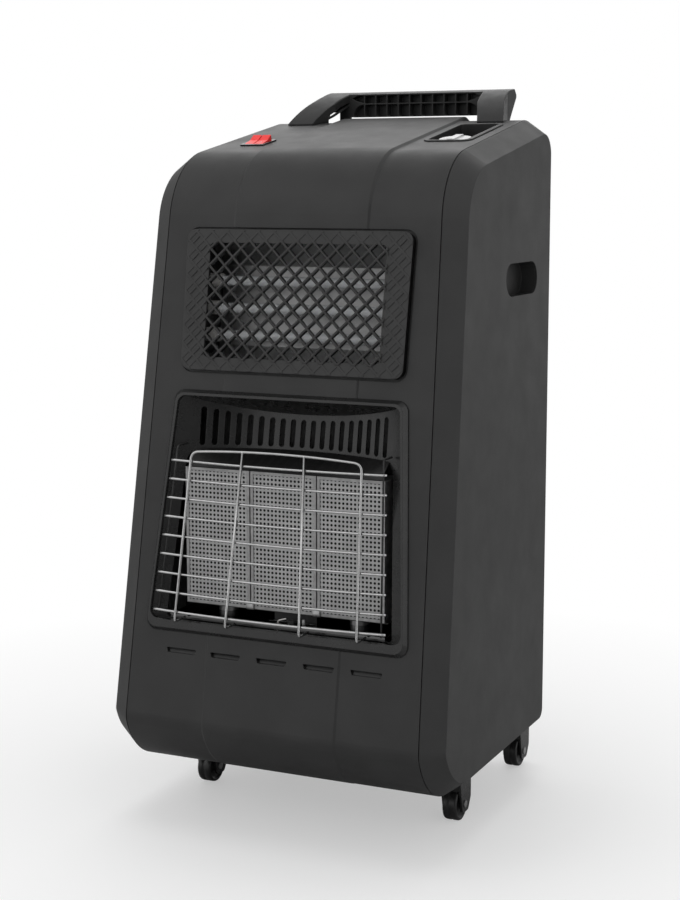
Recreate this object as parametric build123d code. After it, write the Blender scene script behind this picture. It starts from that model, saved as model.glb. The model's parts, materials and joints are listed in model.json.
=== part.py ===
"""Portable cabinet heater: an infra-red gas burner below, quartz tubes above, on four swivel casters.

Millimetres. +Z is up, -Y is the front, and +X is to the right of a viewer who faces the front.
The origin is on the floor under the middle of the overall box.
"""
from build123d import *
import os
from math import atan, cos, degrees, hypot, radians, sin, sqrt

os.makedirs("parts", exist_ok=True)

# ---------------------------------------------------------------- driving dimensions
# cabinet outline, seen from the side
front_foot = -236.8        # where the leaning front would meet the floor
front_lean = 0.162         # millimetres back for each millimetre up
back_foot = 138.1          # where the leaning back would meet the floor
back_lean = 0.0726
top_mid = 774.5            # height of the top above the origin
top_slope = 0.1863         # the top rises to the rear
under_height = 60.5        # underside of the cabinet above the floor
chin_high = 124.0          # the front turns in below this height
chin_angle = 22.0          # the chin's own lean, from the vertical
chin_radius = 27.0
belly_radius = 88.0
heel_radius = 30.0
rear_radius = 40.0
brow_radius = 88.0
middle_rear_radius = 27.0  # the raised middle panel turns down later

# cabinet width
seam_half = 184.0          # half width at the seam between shell and side panel, at the floor
side_taper = 0.0252        # the sides lean in by this much for each millimetre up
side_depth = 23.9          # how far a side panel stands out past the seam
bevel_inset = 17.3         # the bevel band moves the outline in by this much

# walls and gaps
shell_wall = 2.6
side_wall = 2.6
seam_gap = 1.0
lip_gap = 0.4
lip_wall = 2.0
lip_reach = 8.0
seat_gap = 0.3             # between neighbours that rest on one another
pin_gap = 0.06             # radial clearance of a pivot or axle

# raised middle panel of the shell
middle_half = 83.0
middle_edge = 2.6
middle_rise = 1.1
middle_rise_top = 2.7

# quartz grille
grille_low = 519.8
grille_high = 676.0
grille_half_low = 135.4
grille_half_high = 137.6
grille_corner = 11.0
grille_proud = 7.8
grille_plate = 3.2
grille_bar = 2.6           # width of a diamond bar
grille_bar_rise = 1.8
grille_frame_rise = 0.6    # the bars stand lower round the window
grille_skirt = 2.0
diamond_width = 19.4
diamond_height = 19.2
window_low = 534.5
window_high = 661.0
window_half = 107.5
window_corner = 5.0
pocket_gap = 2.6           # between the plate and the hole in the shell

# quartz heater behind the grille
quartz_box_depth = 58.0
quartz_sheet = 1.2
quartz_flange = 7.0
tube_radius = 5.6
tube_bore = 4.2
tube_half = 112.0
tube_depth = 30.0          # behind the shell's face
tube_heights = (623.0, 592.5, 562.0)
cap_length = 16.0
cap_radius = 8.0
element_radius = 2.4

# burner bezel
bezel_low = 227.0
bezel_high = 497.6
bezel_half_low = 161.4
bezel_half_high = 142.4
bezel_corner = 13.0
bezel_proud = 7.0
bezel_draft = 4.0          # the rim's side leans in by this much
bezel_rim = 7.0            # from the rim's foot to its inner edge
bezel_lift = 1.3           # clears the raised middle panel
bezel_sill = 14.0          # height of the rim along the bottom
bezel_wall = 2.6
bezel_neck = 2.5           # the hole in the shell is this much inside the rim
dish_top_sag = 43.0        # depth of the hollow at mid width, at the top
dish_low_sag = 34.0        # and at the bottom
ceiling_slope = 0.3
burner_gap_low = 241.0
burner_gap_high = 431.0
burner_gap_half_low = 139.0
burner_gap_half_high = 126.0
burner_gap_corner = 16.0
vent_count = 19
vent_pitch = 12.5
vent_width = 6.0
vent_low = 434.0
vent_margin = 7.0          # between the vents and the ceiling, at the sides
vent_drop = 0.45           # the vents' tops come down by this much for each millimetre of depth

# burners
burner_face = -173.3       # plane of the ceramic plaques, which stand upright
burner_pitch = 82.0
burner_width = 80.6
burner_low = 256.0
burner_high = 412.0
burner_depth = 40.0
burner_sheet = 1.4
burner_rim = 3.2
plaque_thick = 12.5
dent_deep = 1.4
dent_pitch = (4.7, 5.0)
dent_radius = 0.85
dent_columns = 15
dent_rows = 29
venturi_radius = 11.0
venturi_length = 46.0
injector_radius = 4.5
tray_z = 245.4             # the tray's floor, in front of the plaques
pilot_at = (13.0, burner_face - 8, 240.0)
pilot_arm = 26.0
manifold_y = burner_face + burner_depth * 0.62
manifold_z = 197.0
manifold_end = 118.0
inlet_at = (132.0, 118.0, 640.0)
tail_radius = 4.6

# wire guard
guard_wire = 1.6           # radius
guard_low = 255.0
guard_high = 421.3
guard_rows = 9
guard_half_low = 141.5
guard_half_high = 131.0
guard_bow = 9.0
guard_proud = 19.5         # in front of the shell's face, at the ends of the rows
guard_posts = (38.0, 104.0)
guard_post_spread = 0.04   # the uprights lean out towards the bottom
guard_foot = 244.9
guard_arch = 437.5
guard_arch_radius = 9.0
guard_hook = 24.0
guard_rod = 1.2            # radius of the rods that join the row ends
weld = 0.5                 # crossing wires sink into each other by this much

# controls on the top
well_x = (94.0, 147.0)
well_y = (2.0, 118.0)
well_deep = 27.0
well_wall = 2.0
well_corner = 9.0
well_rim = 3.0
knob_at = (120.5, 31.0)
knob_radius = 20.0
knob_high = 16.0
knob_sunk = -0.5           # knob top below the surface of the cabinet's top; negative is proud of it
knob_travel = 4.0
knob_skirt = 4.0
knob_step = 1.2
knob_bar_high = 2.0
knob_flutes = 28
spindle_radius = 4.0
knob_low = -knob_sunk - knob_high
cap_ring_radius = 7.0
collar_floor = -48.0       # these depths are below the surface of the top
spindle_floor = -68.0
boss_radius = 11.0
boss_top = -well_deep + well_wall + 1.6
valve_size = (40.0, 62.0, 44.0)
rocker_at = (-117.0, 0.5)
rocker_frame = (31.0, 37.0)
rocker_size = (11.0, 26.0)
rocker_pitch = 12.4
rocker_front = 1.4         # height of a rocker's front edge over the cabinet's top
rocker_rear = 8.0
rocker_pin = 1.5
rocker_axis = -1.5
rocker_room = (12.4, 13.5)     # half size of the window for both rockers

# handle
handle_back = 228.3
handle_front = 204.0       # front face of the bar
handle_top = top_mid + 68.5
handle_under = top_mid + 37.0
handle_low = top_mid + 31.5         # the arms' lowest point behind the cabinet
handle_floor = top_mid + 5.5       # the arms' blanks start this low, inside the cabinet
handle_end = 125.5         # half width over the ends of the bar
handle_reach = 89.9        # half width between the arms, at the bar
handle_slab = 9.0          # thickness of an arm under its curved top
handle_wall = 3.5          # outer wall of an arm
handle_post = 104.0        # outer side of the post between arm and bar
handle_lip = 2.4
handle_edge = 1.5          # rounding of the long edges
foot_front = 132.5
foot_back = 160.0
foot_x = (109.2, 142.8)
foot_lift = 2.0            # the front edge of a foot stands this high
outer_hip = 4.84           # the arms bulge out by this much halfway
inner_knee = 5.8
brow_middle = (170.0, top_mid + 52.3)   # the arms' curved top passes here
cell_ribs = 10
cell_pitch = 15.5
cell_half = 88.0
cell_rib = 1.6
cell_deep = 12.0
cell_middle = top_mid + 52.9        # height of the rib between the two rows
handle_skin = 5.0

# screws
screw_radius = 2.0
screw_head = 4.6
screw_head_tall = 2.4
boss = 3.4                 # radius of the bosses round the screws
heater_bite = 2.6
screw_bite = 5.5           # into the handle's feet
foot_screw_back = 9.8      # behind a foot's front edge
foot_screw_apart = 8.0     # from a foot's middle

# side grips
grip_y = 63.8
grip_z = 618.0
grip_long = 110.0
grip_tall = 37.6
grip_deep = 19.0
grip_wall = 2.0

# louvres under the burner
louvre_z = 206.0
louvre_long = 38.0
louvre_tall = 5.6
louvre_taper = 2.0         # the ends lean out towards the top
louvre_corner = 1.0
louvre_x = (-114.0, -57.5, 0.0, 57.5, 114.0)

# base, back and inner sheets
base_sheet = 2.2
base_front = -129.0
base_back = 160.0
base_flange = 24.0
pan_rib = 142.0
cover_sheet = 1.6
cover_low = 95.0
cover_high = top_mid - 58.5
cover_lift = 10.0
cover_overlap = 14.0
cover_rib = 136.0
brace_sheet = 2.0
brace_tall = 40.0
shield_y = -96.0
shield_high = 505.0
shield_sheet = 1.5
shield_foot = 24.0
shield_notch = 100.0       # the partition clears the caster sockets below this height

# mains cord
gland_radius = 7.0
gland_x = -120.0
gland_z = 82.0

# casters
caster_x = seam_half - 23.5
caster_y = (-67.0, 143.5)
caster_trail = 14.0
wheel_radius = 20.0
wheel_width = 17.5
tyre_dish = 3.0
fork_wall = 2.8
fork_gap = 0.8
fork_clear = 1.8
stem_radius = 4.5
stem_high = 24.0
axle_radius = 3.0
socket_radius = 10.0
socket_flange = 13.5

# ---------------------------------------------------------------- frames
face_lean = atan(front_lean)
face = Plane(origin=(0, front_foot, 0), x_dir=(1, 0, 0), z_dir=(0, -cos(face_lean), sin(face_lean)))
lid_tilt = atan(top_slope)
lid = Plane(origin=(0, 0, top_mid), x_dir=(1, 0, 0), z_dir=(0, -sin(lid_tilt), cos(lid_tilt)))
back_tilt = atan(back_lean)
back = Plane(origin=(0, back_foot, 0), x_dir=(-1, 0, 0), z_dir=(0, cos(back_tilt), -sin(back_tilt)))
seam_tilt = atan(side_taper)
sides = {"right": 1, "left": -1}


def seam(side):
    """The seam's plane: local x runs to the rear or front, local y up, local z out of the cabinet."""
    return Plane(origin=(side * seam_half, 0, 0), x_dir=(0, side, 0),
                 z_dir=(side * cos(seam_tilt), 0, sin(seam_tilt)))


def rise(z):
    """Distance up the leaning front for a height above the floor."""
    return z / cos(face_lean)


def run(y):
    """Distance along the sloping top for a distance from the origin."""
    return y / cos(lid_tilt)


def climb(z):
    """Distance up the leaning back for a height above the floor."""
    return z / cos(back_tilt)


def seam_at(z):
    return seam_half - side_taper * z


def front_at(z):
    return front_foot + front_lean * z


def back_at(z):
    return back_foot + back_lean * z


def top_at(y):
    return top_mid + top_slope * y


def save(shape, node):
    """Write one sub-part, as one solid or as a group of separate solids."""
    solids = shape.solids()
    whole = solids[0] if len(solids) == 1 else Compound(children=list(solids))
    whole.label = node
    export_step(whole, f"parts/{node}.step")
    print(node, len(solids), round(sum(s.volume for s in solids)), flush=True)


def rounded(points, radii):
    """A face through the points with each corner rounded by its own radius."""
    return make_face(FilletPolyline(*points, radius=list(radii), close=True))


def flat(*points):
    """A face with straight sides through the points."""
    return make_face(Polyline(*points, close=True))


def trapezoid(low, high, half_low, half_high, corner):
    """A symmetric face on a plane whose local y is up, with rounded corners."""
    points = ((-half_low, low), (half_low, low), (half_high, high), (-half_high, high))
    return rounded(points, [corner] * 4)


def block(x, y, z):
    """A box between pairs of limits."""
    size = (x[1] - x[0], y[1] - y[0], z[1] - z[0])
    return Pos((x[0] + x[1]) / 2, (y[0] + y[1]) / 2, (z[0] + z[1]) / 2) * Box(*size)


def tube_along(points, radius, bend):
    """A round wire or pipe along straight runs with rounded bends."""
    path = FilletPolyline(*points, radius=bend)
    return sweep(Plane(origin=path @ 0, z_dir=path % 0) * Circle(radius), path)


gland_at = (gland_x, back_at(gland_z), gland_z)


# ---------------------------------------------------------------- cabinet outline
def outline_lines(front, chin, under, rear, top):
    """Five sides of the outline in the side view, each as an outward normal and a distance.

    The five numbers move the sides inward.
    """
    lean = hypot(1, front_lean)
    low = radians(chin_angle)
    chin_normal = (-cos(low), -sin(low))
    chin_point = (front_at(chin_high), chin_high)
    slope = hypot(1, top_slope)
    back_side = hypot(1, back_lean)
    return (
        ((0.0, -1.0), -under_height - under),
        (chin_normal, chin_normal[0] * chin_point[0] + chin_normal[1] * chin_point[1] - chin),
        ((-1 / lean, front_lean / lean), -front_foot / lean - front),
        ((-top_slope / slope, 1 / slope), top_mid / slope - top),
        ((1 / back_side, -back_lean / back_side), back_foot / back_side - rear),
    )


def outline(inset, top_inset=None, front_inset=None, rear=rear_radius):
    """The cabinet's outline in the side view, moved inward; local x is Y and local y is Z."""
    front = inset if front_inset is None else front_inset
    top = inset if top_inset is None else top_inset
    lines = outline_lines(front, front, inset, inset, top)
    corners = []
    for here, there in zip(lines, lines[1:] + lines[:1]):
        (a, b), d = here
        (e, f), g = there
        det = a * f - b * e
        corners.append(((d * f - b * g) / det, (a * g - d * e) / det))
    radii = (belly_radius, chin_radius, brow_radius, rear, heel_radius)
    return rounded(corners, [max(radius - inset, 1.0) for radius in radii])


def flare(extra, near, far, side):
    """The side panel's form, moved inward by extra, between two distances past the seam."""
    slope = bevel_inset / side_depth
    plane = seam(side)
    ends = []
    for reach in (near, far):
        shape = outline(extra + slope * reach)
        if side < 0:
            shape = mirror(shape, about=Plane.YZ)
        ends.append(plane.offset(reach) * shape)
    return loft(ends, ruled=True)


def slab_past_seam(reach, side, thick=120.0):
    """Everything outside a plane that stands parallel to the seam."""
    return seam(side).offset(reach) * Pos(0, 400, thick / 2) * Box(1600, 1800, thick)


def front_shell():
    """The wrap-round shell: front, top and the turned-in chin, with a raised middle panel."""
    across = 2 * seam_half + 20
    side_view = Plane(origin=(-across / 2, 0, 0), x_dir=(0, 1, 0), z_dir=(1, 0, 0))
    body = extrude(side_view * outline(0), across)
    raised = outline(0, -middle_rise_top, -middle_rise, middle_rear_radius)
    flat = middle_half - middle_edge
    pad = extrude(side_view.offset(across / 2 - flat) * raised, 2 * flat)
    base = outline(0, 0, 0, middle_rear_radius)
    for side in (1, -1):
        near = side_view.offset(across / 2 + side * flat) * raised
        far = side_view.offset(across / 2 + side * middle_half) * base
        pad += loft([near, far] if side > 0 else [far, near], ruled=True)
    body += pad
    body -= extrude(side_view * outline(shell_wall), across)
    for side in (1, -1):
        body -= slab_past_seam(-seam_gap, side)
    body -= block((-300, 300), (base_front, 400), (-10, under_height + 40))
    rear_edge = cover_high + cover_lift + 4
    body -= block((-300, 300), (50, 400), (0, rear_edge))
    # hole for the quartz grille
    hole = trapezoid(rise(grille_low) - pocket_gap, rise(grille_high) + pocket_gap,
                     grille_half_low + pocket_gap, grille_half_high + pocket_gap,
                     grille_corner + pocket_gap)
    body -= extrude(face.offset(-12) * hole, 24)
    # hole for the burner bezel
    hole = trapezoid(rise(bezel_low) + bezel_neck, rise(bezel_high) - bezel_neck,
                     bezel_half_low - bezel_neck, bezel_half_high - bezel_neck, bezel_corner - 4)
    body -= extrude(face.offset(-12) * hole, 24)
    # louvres
    for x in louvre_x:
        mouth = trapezoid(-louvre_tall / 2, louvre_tall / 2, louvre_long / 2 - louvre_taper, louvre_long / 2,
                          louvre_corner)
        body -= face * Pos(x, rise(louvre_z), 0) * extrude(Plane.XY.offset(-8) * mouth, 16)
    # openings in the top
    body -= extrude(lid.offset(-9) * well_outline(0), 18)
    body -= lid * Pos(rocker_at[0], run(rocker_at[1]), 0) * Box(rocker_frame[0] - 4, rocker_frame[1] - 4, 20)
    for x, y in handle_screw_spots():
        body -= lid * Pos(x, run(y), 0) * Cylinder(screw_radius + 0.4, 30)
    for x, z in grille_screw_spots():
        boss_end = shell_wall + quartz_sheet
        middle = (1 - shell_wall - boss_end) / 2
        body += face * Pos(x, rise(z), middle) * Cylinder(boss, boss_end - shell_wall + 1)
        body -= face * Pos(x, rise(z), -boss_end) * Cylinder(screw_radius + 0.05, 2 * heater_bite)
    return body


def well_outline(grow):
    """The control well's mouth on the top's plane, grown by a margin."""
    half_x = (well_x[1] - well_x[0]) / 2 + grow
    half_y = run(well_y[1] - well_y[0]) / 2 + grow
    middle = ((well_x[0] + well_x[1]) / 2, run(well_y[0] + well_y[1]) / 2)
    return Pos(*middle) * RectangleRounded(2 * half_x, 2 * half_y, well_corner + grow)


def handle_screw_spots():
    """Two screws come up into each foot of the handle from below."""
    x = (foot_x[0] + foot_x[1]) / 2
    y = foot_front + foot_screw_back
    return [(side * (x + shift), y) for side in (1, -1) for shift in (-foot_screw_apart, foot_screw_apart)]


def grille_screw_spots():
    """Screws that hold the quartz heater box to the shell's inner face."""
    x = grille_half_low + pocket_gap + quartz_flange / 2 + 2
    return [(side * x, z) for side in (1, -1) for z in (grille_low + 20, grille_high - 20)]


def screw(length):
    """A pan-head screw along +Z with the head below the origin."""
    body = Pos(0, 0, length / 2 - 0.2) * Cylinder(screw_radius, length - 0.4)
    head = Pos(0, 0, -screw_head_tall / 2) * Cylinder(screw_head, screw_head_tall)
    cross = Pos(0, 0, -screw_head_tall) * (Box(4.4, 0.9, 1.6) + Box(0.9, 4.4, 1.6))
    return body + head - cross


# ---------------------------------------------------------------- side panels
def side_panel(side):
    skin = side_wall * hypot(1, bevel_inset / side_depth)
    body = flare(0, 0, side_depth, side)
    body -= flare(skin, -0.5, side_depth - side_wall, side)
    outer = shell_wall + lip_gap
    lip = seam(side).offset(-lip_reach) * turned(outline(outer), side)
    core = seam(side).offset(-lip_reach) * turned(outline(outer + lip_wall), side)
    body += extrude(lip, lip_reach + 3) - extrude(core, lip_reach + 3)
    body -= grip_hole(side, 0)
    return body


def turned(shape, side):
    return shape if side > 0 else mirror(shape, about=Plane.YZ)


def grip_place(side):
    """The plane of the outer face at the grip's middle."""
    return seam(side).offset(side_depth) * Pos(side * grip_y, grip_z, 0)


def grip_hole(side, grow):
    hole = SlotOverall(grip_long + 2 * grow, grip_tall + 2 * grow)
    return grip_place(side) * extrude(Plane.XY.offset(-side_wall - 6) * hole, side_wall + 12)


def grip_cup(side):
    """A pocket behind the hole in the side panel, with a flange against the panel's inner face."""
    reach = -side_wall - seat_gap
    flange = extrude(Plane.XY.offset(reach) * SlotOverall(grip_long + 14, grip_tall + 14), -grip_wall)
    cup = extrude(Plane.XY.offset(reach) * SlotOverall(grip_long + 2 * grip_wall + 1,
                                                      grip_tall + 2 * grip_wall + 1), -grip_deep)
    room = extrude(Plane.XY.offset(reach + 1) * SlotOverall(grip_long + 1, grip_tall + 1),
                   -(grip_deep + 1 - grip_wall))
    return grip_place(side) * (flange + cup - room)


# ---------------------------------------------------------------- back, base and inner sheets
def base_pan():
    """The floor of the cabinet, which carries the casters."""
    top = under_height + base_sheet
    half = seam_at(under_height) - 1
    heel = back_at(under_height) - heel_radius
    pan = block((-half, half), (base_front + seam_gap, heel), (under_height, top))
    tail_half = caster_x + socket_flange + 2
    tail = Pos(0, base_back / 2) * RectangleRounded(2 * tail_half, base_back, socket_flange)
    pan += extrude(Plane.XY.offset(under_height) * tail, base_sheet)
    for x in (-pan_rib, pan_rib):
        pan += block((x - 1, x + 1), (base_front + 8, heel), (top - 0.5, top + base_flange))
    rear = trapezoid(climb(under_height + 1), climb(cover_low + cover_overlap), 140, 140, 2)
    pan += extrude(back.offset(-cover_sheet - lip_gap) * rear, -base_sheet)
    for x in (-100, 100):
        y = back_at(cover_low)
        pan += block((x - 12, x + 12), (y - 5, y + 0.5), (cover_low - 3, cover_low - seat_gap))
    for x, y in caster_spots():
        pan -= Pos(x, y, top) * Cylinder(socket_radius + 0.1, 20)
    gland = Pos(*gland_at) * Rot(X=90) * Cylinder(gland_radius + 0.1, 40)
    return pan - gland


def caster_spots():
    return [(side * caster_x, y) for y in caster_y for side in (1, -1)]


def rear_cover():
    """The lift-off back, with vents high and low."""
    half_low = seam_at(cover_low) - 1.2
    half_high = seam_at(cover_high) - 1.2
    sheet = trapezoid(climb(cover_low), climb(cover_high), half_low, half_high, 3)
    cover = extrude(back * sheet, -cover_sheet)
    for row in range(6):
        for x in (-90, -30, 30, 90):
            for foot in (140.0, 610.0):
                slot = Pos(x, climb(foot + 14 * row), 0) * SlotOverall(44, 5)
                cover -= extrude(back.offset(-4) * slot, 8)
    for side in (1, -1):
        middle = climb((cover_low + cover_high) / 2 + 10)
        rib = Pos(side * cover_rib, middle, -cover_sheet - 5) * Box(1.6, 540, 11)
        cover += back * rib
    return cover


def top_brace():
    """A folded cross-piece under the rear of the top: the handle's screws pull against it."""
    half = foot_x[1] + 4
    rest = lid.offset(-shell_wall) * Pos(0, run(130.5), -brace_sheet / 2) * Box(2 * half, 24, brace_sheet)
    low = cover_high - cover_overlap
    strip = trapezoid(climb(low), climb(low + brace_tall), half, half, 2)
    brace = rest + extrude(back.offset(-shell_wall) * strip, -brace_sheet)
    inner = shell_wall + brace_sheet / 2
    web = flat((122, top_at(122) - inner), (140, top_at(140) - inner),
                  (back_at(low + brace_tall) - inner, low + brace_tall), (back_at(low) - inner, low))
    for x in (-60, 60):
        brace += extrude(Plane.YZ.offset(x) * web, brace_sheet)
    for x, y in handle_screw_spots():
        brace -= lid * Pos(x, run(y), 0) * Cylinder(screw_radius + 0.4, 30)
    return brace


def heat_shield():
    """The partition between the burner and the bottle bay."""
    low = under_height + base_sheet
    narrow = pan_rib - 4
    wide = seam_at(shield_notch) - 10
    top_half = seam_at(shield_high) - 10
    right_edge = [(narrow, low), (narrow, shield_notch), (wide, shield_notch), (top_half, shield_high)]
    sheet = flat(*right_edge, *[(-x, z) for x, z in reversed(right_edge)])
    shield = extrude(Plane.XZ.offset(-shield_y) * sheet, -shield_sheet)
    shield += block((-120, 120), (shield_y, shield_y + shield_foot), (low, low + shield_sheet))
    for x in (-118, 118):
        gusset = flat((shield_y + 1, low), (shield_y + shield_foot, low), (shield_y + 1, low + 90))
        shield += extrude(Plane.YZ.offset(x) * gusset, shield_sheet)
    return shield


# ---------------------------------------------------------------- handle
def arm_sides():
    """The outer and the inner side of the right arm, seen from above, from the foot to the bar."""
    middle = brow_middle[0]
    outer = [(foot_x[1], foot_front), (handle_end + outer_hip, middle), (handle_end, handle_front - 8)]
    inner = [(foot_x[0], foot_front), (handle_reach + inner_knee, middle), (handle_reach, handle_front)]
    return outer, inner


def both_ways(points):
    """A plan of the right half and of its mirror image."""
    return flat(*points) + flat(*[(-x, y) for x, y in points])


def prism(plan):
    """The plan carried up through the whole height of the handle."""
    return extrude(Plane.XY.offset(handle_floor - 10) * plan, 110)


def arm_plan():
    """Both arms seen from above, as they sweep in from the feet to the bar."""
    outer, inner = arm_sides()
    start = foot_front - 5
    end = handle_back + 4
    right = [(foot_x[1], start)] + outer + [(handle_end, end)]
    left = [(handle_reach, end)] + inner[::-1] + [(foot_x[0], start)]
    return both_ways(right + left)


def under_brow():
    """Everything under the curved top of the arms and the bar."""
    start = (foot_front, top_at(foot_front) + foot_lift)
    brow = ThreePointArc(start, brow_middle, (handle_back - 7, handle_top))
    rest = Polyline(brow @ 1, (handle_back, handle_top - 7), (handle_back, handle_floor),
                    (foot_front, handle_floor), start)
    half = foot_x[1] + 10
    return extrude(Plane.YZ.offset(-half) * make_face([brow, rest]), 2 * half)


def across_handle(*points):
    """A prism along X over the whole handle, from points in the side view."""
    half = foot_x[1] + 12
    return extrude(Plane.YZ.offset(-half) * flat(*points), 2 * half)


def cell_places():
    """The cells in the front view: plain ones between the ribs, and shaped ones at both ends."""
    upper = (cell_middle + cell_rib / 2, handle_top - handle_skin)
    lower = (handle_under - 4, cell_middle - cell_rib / 2)
    cells = []
    for index in range(cell_ribs - 1):
        x = (index - (cell_ribs - 2) / 2) * cell_pitch
        room = (cell_pitch - cell_rib) / 2
        for low, high in (upper, lower):
            cells.append(flat((x - room, low), (x + room, low), (x + room, high), (x - room, high)))
    start = (cell_ribs - 1) / 2 * cell_pitch + cell_rib / 2
    deep = lower[1] - handle_under
    for side in (1, -1):
        near = side * start
        far = side * (start + deep)
        corner = (side * (start + 0.7 * deep), lower[1] - 0.27 * deep)
        bend = ThreePointArc((near, lower[1]), corner, (far, handle_under))
        cells.append(make_face([bend, Polyline(bend @ 1, (far, lower[0]), (near, lower[0]), bend @ 0)]))
        tip = side * (cell_half - 1)
        hip = side * (start + 9)
        cells.append(flat((near, upper[0] + 0.6), (hip, upper[0] + 3), (tip, upper[1] - 3.5),
                          (hip, upper[1]), (near, upper[1])))
    return cells


def arm_cavity():
    """The arms are hollow behind their feet, under the brow and inside their outer walls."""
    outer, inner = arm_sides()
    wall = [(x - handle_wall, y) for x, y in outer]
    wall = [(wall[0][0], foot_front - 5)] + wall + [(wall[-1][0], handle_back - 4)]
    between = prism(flat(*wall, *[(-x, y) for x, y in reversed(wall)]))
    low = handle_floor - 5
    room = across_handle((foot_back, low), (foot_back, handle_under), (182, handle_under + 11.5),
                         (handle_front, handle_top - 4 - handle_slab), (handle_front, low))
    pocket = across_handle((handle_front - 1, low), (handle_front - 1, cell_middle),
                           (handle_front + 12, cell_middle), (handle_front + 12, low))
    beside = Part()
    for near, far in ((-200, -handle_post), (handle_post, 200)):
        beside += block((near, far), (0, 400), (700, 900))
    return between & (room + (pocket & beside))


def arm_lips():
    """A thin rib runs along the inner side of each arm."""
    outer, inner = arm_sides()
    line = [(x + 0.6, y) for x, y in inner]
    strip = prism(both_ways(line + [(x + handle_lip, y) for x, y in reversed(line)]))
    start = (foot_back - 6, handle_low - 2)
    end = (handle_front + 1, cell_middle + 0.6)
    return strip & across_handle(start, (start[0], start[1] + handle_lip), end, (end[0], end[1] - handle_lip))


def carry_handle():
    """Two swept-back arms, hollow underneath, and a ribbed bar that overhangs the back."""
    arms = under_brow() & prism(arm_plan())
    waist = handle_front + 2
    arms -= across_handle((handle_back + 3, handle_top - 6.4), (waist, handle_low),
                          (waist - 6, handle_low - 9), (waist - 6, handle_floor - 5),
                          (handle_back + 3, handle_floor - 5))
    brows = [edge for edge in arms.edges() if edge.length > 12 and abs((edge % 0.5).Y) > 0.5
             and edge.center().Z > handle_top - 22]
    arms = fillet(brows, handle_edge)
    behind = handle_back + 1
    bar = under_brow() & block((-handle_reach - 1, handle_reach + 1), (handle_front, behind + 4),
                               (handle_under, handle_top + 5))
    below = handle_under - 1
    bar -= across_handle((behind, handle_top - 20), (behind - 10, below), (behind, below))
    body = arms + bar
    body -= arm_cavity()
    body += arm_lips()
    for cell in cell_places():
        body -= extrude(Plane.XZ.offset(3 - handle_front) * cell, -cell_deep - 3)
    half = foot_x[1] + 10
    body -= extrude(Plane.YZ.offset(-half) * outline(-seat_gap), 2 * half)
    for x, y in handle_screw_spots():
        body -= lid * Pos(x, run(y), 0) * Cylinder(screw_radius + 0.05, 2 * screw_bite)
    return body


def fixing_screws():
    """Four screws up into the handle's feet and four into the bosses round the quartz heater box."""
    start = -shell_wall - brace_sheet
    screws = [lid * Pos(x, run(y), start) * screw(screw_bite + shell_wall) for x, y in handle_screw_spots()]
    start = -shell_wall - quartz_sheet
    screws += [face * Pos(x, rise(z), start) * screw(heater_bite) for x, z in grille_screw_spots()]
    return Compound(children=screws)


# ---------------------------------------------------------------- controls
def control_well():
    """The sunk tray on the top that holds the gas knob."""
    well = extrude(lid.offset(-well_deep) * well_outline(-0.5), well_deep + 0.6)
    well += extrude(lid * well_outline(well_rim), 1.4)
    well -= extrude(lid.offset(-well_deep + well_wall) * well_outline(-0.5 - well_wall), well_deep + 4)
    hole = lid * Pos(knob_at[0], run(knob_at[1]), -well_deep) * Cylinder(boss_radius + 0.3, 20)
    return well - hole


def on_lid(x, y, low, high, radius):
    """A cylinder along the top's normal between two heights over the surface."""
    return lid * Pos(x, run(y), (low + high) / 2) * Cylinder(radius, high - low)


def gas_valve_body():
    x, y = knob_at
    under = -well_deep
    body = lid * Pos(x, run(y), under - valve_size[2] / 2) * Box(*valve_size)
    body += on_lid(x, y, under - 1, boss_top, boss_radius)
    body -= on_lid(x, y, collar_floor, boss_top + 1, cap_ring_radius + pin_gap)
    body -= on_lid(x, y, spindle_floor, collar_floor + 1, spindle_radius + 0.6)
    side_port = lid * Pos(x, run(y) - valve_size[1] / 2, under - 30) * Rot(X=90) * Cylinder(7, 12)
    back_port = lid * Pos(x, run(y) + valve_size[1] / 2, under - 30) * Rot(X=90) * Cylinder(7, 12)
    return body + side_port + back_port


def knob_collar():
    x, y = knob_at
    collar = on_lid(x, y, collar_floor + knob_travel + 6, knob_low - seat_gap, cap_ring_radius)
    return collar - on_lid(x, y, collar_floor - 10, 5, spindle_radius + pin_gap)


def valve_spindle():
    x, y = knob_at
    return on_lid(x, y, spindle_floor + knob_travel + 2, knob_low + 10, spindle_radius)


def gas_knob():
    """A skirted knob with a fluted side and a low grip bar on its top."""
    x, y = knob_at
    knob = on_lid(x, y, knob_low, knob_low + knob_skirt, knob_radius)
    top = -knob_sunk - knob_bar_high
    knob += on_lid(x, y, knob_low + knob_skirt - 1, top, knob_radius - knob_step)
    for index in range(knob_flutes):
        turn = Rot(Z=360 / knob_flutes * index)
        groove = turn * Pos(knob_radius - knob_step + 0.5, 0, 0) * Cylinder(1.1, 40)
        low = lid * Pos(x, run(y), knob_low + knob_skirt + 20) * groove
        knob -= low
    knob += lid * Pos(x, run(y), -knob_sunk - knob_bar_high / 2 - 0.5) * Box(9, 2 * knob_radius - 8,
                                                                          knob_bar_high + 1)
    return knob - on_lid(x, y, knob_low - 1, knob_low + 10, spindle_radius)


def rocker_place():
    return lid * Pos(rocker_at[0], run(rocker_at[1]), 0)


def rocker_bezel():
    plate = extrude(RectangleRounded(rocker_frame[0], rocker_frame[1], 2.0), 1.6)
    return rocker_place() * (plate - Box(2 * rocker_room[0], 2 * rocker_room[1], 10))


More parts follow.
